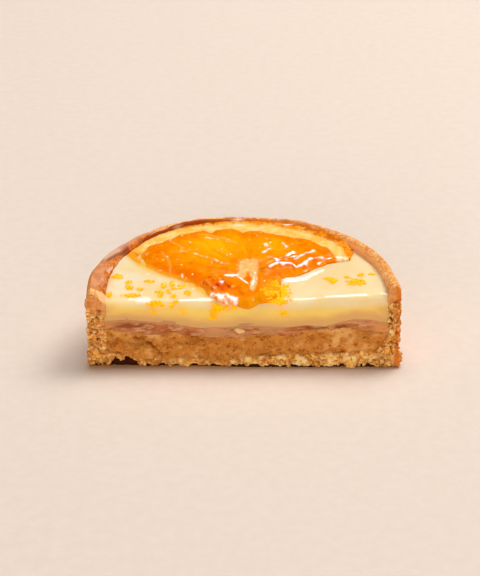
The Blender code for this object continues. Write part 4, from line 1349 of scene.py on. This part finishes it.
def orange_finish():
    """Clear orange flesh with amber and red patches, pale skins and core, cream-coloured
    pith and a bright rind, with white highlights and glints painted on that also glow a
    little as painted light."""
    made, tree, surface = new_finish(
        "candied orange", (0.3, 2.0, (1.0, 0.5, 0.2)), Roughness=0.6, Specular_IOR_Level=0.0,
        Coat_Roughness=0.06, Coat_IOR=1.45, Emission_Strength=0.25)
    clouds = mottled(tree, 3.5, 0.38, 0.62)
    fine = mottled(tree, 1.2, 0.45, 0.7)
    flesh = mix(tree, clouds, tint(249, 113, 0), tint(252, 143, 0))
    flesh = mix(tree, fine, flesh, tint(255, 154, 2))
    flesh = overlaid(tree, flesh, amber=tint(255, 178, 10))
    flesh = mix(tree, painted(tree, "fibre"), mix(tree, 0.16, flesh, tint(250, 104, 0)), flesh)
    flesh = overlaid(
        tree, flesh,
        deep=tint(250, 116, 0),
        red=tint(232, 80, 0),
        outer=mix(tree, fine, tint(244, 126, 2), tint(252, 148, 6)),
        pulp=tint(254, 162, 12),
        dark=tint(176, 48, 0),
    )
    flesh = overlaid(tree, flesh, skin=mix(tree, 0.3, flesh, tint(255, 200, 90)))
    pith = mix(tree, clouds, tint(255, 186, 76), tint(255, 212, 132))
    pith = mix(tree, fine, pith, mix(tree, 0.35, pith, tint(255, 176, 60)))
    rind = mix(tree, clouds, tint(248, 138, 14), tint(255, 174, 46))
    rind = mix(tree, mottled(tree, 1.0, 0.5, 0.6), rind, tint(222, 112, 16))
    shown = overlaid(
        tree, pith,
        flesh=flesh,
        rind=rind,
        caramel=tint(192, 84, 12),
        # Paler thin edge, partly a painted glow
        edge=tint(255, 158, 34),
        core=mix(tree, fine, tint(244, 182, 104), tint(254, 210, 146)),
        # Painted highlights
        wet=tint(255, 228, 208),
        # Painted glints
        bead=tint(255, 244, 232),
    )
    # The painted highlights and glints also glow a little, as painted light
    glint = overlaid(tree, tint(0, 0, 0), wet=tint(255, 232, 214), bead=tint(255, 240, 228))
    set_looks(tree, surface, Base_Color=shown, Emission_Color=glint, Coat_Weight=painted(tree, "gloss"))
    raise_surface(tree, surface, use(tree, RIPPLE, Size=1.3), 0.25, 0.7)
    return made


def zest_finish():
    """Shreds between orange and yellow, into which light goes a little way, and which glow a
    little in their own colour as painted light.
    """
    made, tree, surface = new_finish(
        "grated zest", (0.25, 0.3, (1.0, 1.0, 0.6)), Roughness=0.4, Specular_IOR_Level=0.0,
        Coat_Weight=0.15, Coat_Roughness=0.15, Emission_Strength=0.35)
    shown = overlaid(tree, tint(255, 156, 0), tone=tint(255, 194, 4))
    # The shreds glow in their own colour, a painted glow
    set_looks(tree, surface, Base_Color=shown, Emission_Color=shown)
    return made


def crumb_finish():
    """Loose crumbs between brown and pale gold."""
    made, tree, surface = new_finish(
        "golden crumb", (0.15, 0.5, (1.0, 0.6, 0.4)), Roughness=0.5, Specular_IOR_Level=0.15)
    shown = overlaid(tree, tint(214, 124, 44), tone=tint(255, 206, 122))
    shown = mix(tree, mottled(tree, 0.8, 0.4, 0.6), shown, mix(tree, 0.3, shown, tint(190, 110, 40)))
    set_looks(tree, surface, Base_Color=shown)
    return made


# --- grains --------------------------------------------------------------------------


def unit_grain():
    """A round grain of a few dozen faces, in an order that is the same each time."""
    bm = bmesh.new()
    bmesh.ops.create_uvsphere(bm, u_segments=6, v_segments=4, radius=1.0)
    bmesh.ops.triangulate(bm, faces=bm.faces)
    points = np.array([v.co for v in bm.verts])
    faces = np.array(sorted([v.index for v in f.verts] for f in bm.faces))
    bm.free()
    return points, faces


def strew(name, places, sizes, rng, finish):
    """Copies of one grain, each stretched, dented by noise and turned at random, put at
    its place and joined in one mesh."""
    points, faces = unit_grain()
    count = len(places)
    shape = points[None] * sizes[:, None, :]
    seeds = rng.uniform(0, 50, (count, 1, 1))
    dents = noise(*np.moveaxis(points[None] * 1.3 + seeds, -1, 0), 1.0, 171)
    shape = shape * (1 + 0.35 * dents[..., None])
    turn = rng.uniform(0, 2 * math.pi, count)
    cos, sin = np.cos(turn)[:, None], np.sin(turn)[:, None]
    turned = np.stack((shape[..., 0] * cos - shape[..., 1] * sin,
                       shape[..., 0] * sin + shape[..., 1] * cos, shape[..., 2]), -1)
    placed = (turned + places[:, None, :]).reshape(-1, 3)
    numbered = (faces[None] + len(points) * np.arange(count)[:, None, None]).reshape(-1, 3)
    mesh = write_mesh(name, placed, numbered)
    paint(mesh, "tone", np.repeat(rng.uniform(0, 1, count), len(points)))
    add_piece(name, mesh, finish)


def make_zest():
    """Each clump is a handful of short shreds, which are strings of grains that start
    somewhere in its oval and wander off."""
    rng = np.random.default_rng(7)
    clumps = [(*clump, CLUMP_CLOSENESS) for clump in ZEST]
    clumps += [(*place, *size, HEAP_CLOSENESS) for place, size in (ZEST_HEAP, ZEST_HEAP_FRONT)]
    spots, sizes = [], []
    for x, behind, half_x, half_y, closeness in clumps:
        shreds = int(4 + closeness * math.pi * half_x * half_y)
        start = rng.normal(0, 0.5, (shreds, 1, 2)) * (half_x, half_y)
        heading = rng.uniform(-0.9, 0.9, (shreds, 1))
        heading = heading + np.cumsum(rng.normal(0, 0.6, (shreds, SHRED_GRAINS)), 1)
        steps = np.cumsum(SHRED_STEP * np.stack((np.cos(heading), np.sin(heading)), -1), 1)
        spots.append(((x, behind) + start + steps - steps.mean(1, keepdims=True)).reshape(-1, 2))
        sizes.append(rng.uniform(0.14, 0.28, (shreds, 1)).repeat(SHRED_GRAINS, 1).ravel())
    spots, sizes = np.concatenate(spots), np.concatenate(sizes)
    edge_x, edge_behind = np.transpose(FAN_RIGHT_EDGE[:4])
    inside_edge = np.interp(spots[:, 1], edge_behind, edge_x) - spots[:, 0]
    on_fan = smooth(inside_edge, 0.0, 1.2) * (spots[:, 0] > 3)
    lift = rng.uniform(0.0, 0.12, len(sizes)) + on_fan * rng.uniform(0.7, 1.1, len(sizes))
    places = np.stack(on_cream(spots[:, 0], spots[:, 1], lift), -1)
    shapes = sizes[:, None] * rng.uniform((0.9, 0.8, 0.5), (1.5, 1.2, 0.8), (len(sizes), 3))
    strew("zest", places, shapes, rng, zest_finish())


def make_crumbs():
    """Crumbs that stand loosely in the cut face of the case, most of them in its base."""
    rng = np.random.default_rng(11)
    x, z = (
        np.concatenate([rng.uniform(*field[axis], field[2]) for field in CRUMB_FIELDS]) for axis in (0, 1))
    end = (x > 0).astype(float)
    half = HALF_CHORD + RIGHT_END_SPREAD * end
    above_base = z - face_height(x, BASE_TOP, CUT_Y)
    in_pastry = (above_base < 0) | (np.abs(x) > half * inner_scale(end, above_base))
    on_face = (np.abs(x) < half + 0.1) & (z > undercut_height(x) + 0.25) & (z < rim_height(end) - 3)
    x, z = x[in_pastry & on_face], z[in_pastry & on_face]
    y = CUT_Y - foot_spread(x, CUT_Y, z) - rng.normal(0.12, 0.16, len(x))
    sizes = rng.uniform(0.16, 0.5, (len(x), 1)) * rng.uniform(0.6, 1.4, (len(x), 3))
    z = np.maximum(z, 1.4 * sizes[:, 2])
    strew("crumbs", np.stack((x, y, z), -1), sizes, rng, crumb_finish())


# --- the scene -----------------------------------------------------------------------

CAMERA_PLACE = (-0.6, -465.0, 248.8)
CAMERA_PITCH = math.radians(63.0)
CAMERA_LENS = 125.0
# Soft boxes: name, place and size in metres, watts and colour. A sheen lights nothing: it
# only shines in wet surfaces
LAMPS = (
    ("key", (0.52, 0.42, 1.05), (0.65, 0.65), 10.6, (1.0, 0.985, 0.96)),
    ("overhead", (-0.05, 0.3, 1.2), (0.5, 0.4), 4.4, (1.0, 0.99, 0.98)),
    ("front", (-0.15, -1.2, 0.32), (1.2, 0.5), 8.3, (1.0, 0.985, 0.96)),
    ("overhead sheen", (0.0, 0.12, 1.1), (0.4, 0.15), 30.0, (1.0, 0.99, 0.98)),
    ("key sheen", (0.62, 0.62, 0.95), (0.3, 0.3), 34.0, (1.0, 0.99, 0.98)),
)
ROOM_COLOUR = (1.0, 0.9, 0.78, 1.0)
ROOM_STRENGTH = 0.17
FLOOR_HALF = 1.5


def make_camera():
    """Looks down at the cut from in front."""
    camera = bpy.data.cameras.new("camera")
    camera.lens = CAMERA_LENS
    camera.clip_start = 0.01
    eye = add_object("camera", camera)
    eye.location = [c * MM for c in CAMERA_PLACE]
    eye.rotation_euler = (CAMERA_PITCH, 0, 0)
    bpy.context.scene.camera = eye


def make_lamp(name, place, size, watts, colour):
    """A soft box that looks at the tart and lights it, or as a sheen only shines in it."""
    lamp = bpy.data.lights.new(name, "AREA")
    lamp.shape = "RECTANGLE"
    lamp.size, lamp.size_y = size
    lamp.energy = watts
    lamp.color = colour
    made = add_object(name, lamp)
    made.location = place
    made.rotation_euler = made.location.to_track_quat("Z", "Y").to_euler()
    made.visible_glossy = name.endswith("sheen")
    made.visible_diffuse = not made.visible_glossy


def make_room():
    """Dim warm light from all round, which no glossy surface shows."""
    world = bpy.data.worlds.new("studio")
    world.use_nodes = True
    background = world.node_tree.nodes["Background"]
    background.inputs["Color"].default_value = ROOM_COLOUR
    background.inputs["Strength"].default_value = ROOM_STRENGTH
    world.cycles_visibility.glossy = False
    bpy.context.scene.world = world
    bpy.context.scene.view_settings.view_transform = "Standard"


def floor_finish():
    """Pale stone, warmer along the foot of the cut, where the tart reflects on it."""
    made, tree, surface = new_finish(
        "pale floor", (0.0, 1.0, (1.0, 1.0, 1.0)), Roughness=0.6, Specular_IOR_Level=0.0)
    stone = mix(tree, mottled(tree, 3.0, 0.3, 0.7), tint(231, 215, 202), tint(234, 219, 207))
    place = put(tree, "SeparateXYZ", Vector=measure(tree)).outputs
    aside = put(tree, "Math", {"operation": "ABSOLUTE"}, _0=place["X"]).outputs["Value"]
    warm = mix(tree, ranged(tree, aside, HALF_CHORD - 2, HALF_CHORD + 2), tint(226, 182, 136), stone)
    warm = mix(tree, ranged(tree, place["Y"], CUT_Y + 0.5, CUT_Y + 2.5), warm, stone)
    shown = mix(tree, ranged(tree, place["Y"], CUT_Y - 2.5, CUT_Y), stone, warm)
    set_looks(tree, surface, Base_Color=shown)
    return made


def make_floor():
    """A large square."""
    mesh = bpy.data.meshes.new("floor")
    bm = bmesh.new()
    bmesh.ops.create_grid(bm, x_segments=1, y_segments=1, size=FLOOR_HALF)
    bm.to_mesh(mesh)
    bm.free()
    mesh.materials.append(floor_finish())
    floor = add_object("floor", mesh)


# Each layer: its name, the planes that cut its box, its form, its relief and its finish
CASE_PROFILE = stretches((FILLET_START, 150), (FILLET_END, 26), (1.0, 112))
LAYERS = (
    ("crust", (dense_at_ends(118, 2.0), CASE_PROFILE, even(24)),
     case_shape, case_relief, pastry_finish),
    ("almond_filling", (even(420), dense_at_start(9, 2.5), even(44)),
     almond_shape, almond_relief, almond_finish),
    ("compote", (even(420), dense_at_start(9, 2.5), even(22)),
     compote_shape, compote_relief, compote_finish),
    ("cream", (even(240), dense_at_start(110, 1.3), even(46)),
     cream_shape, cream_relief, cream_finish),
    ("orange_slice", (even(250), even(180), even(5)),
     orange_shape, orange_relief, orange_finish),
)

make_camera()
for lamp in LAMPS:
    make_lamp(*lamp)
make_room()
make_floor()
for name, cuts, shape, relief, finish in LAYERS:
    make_layer(name, cuts, shape, relief, finish())
make_zest()
make_crumbs()
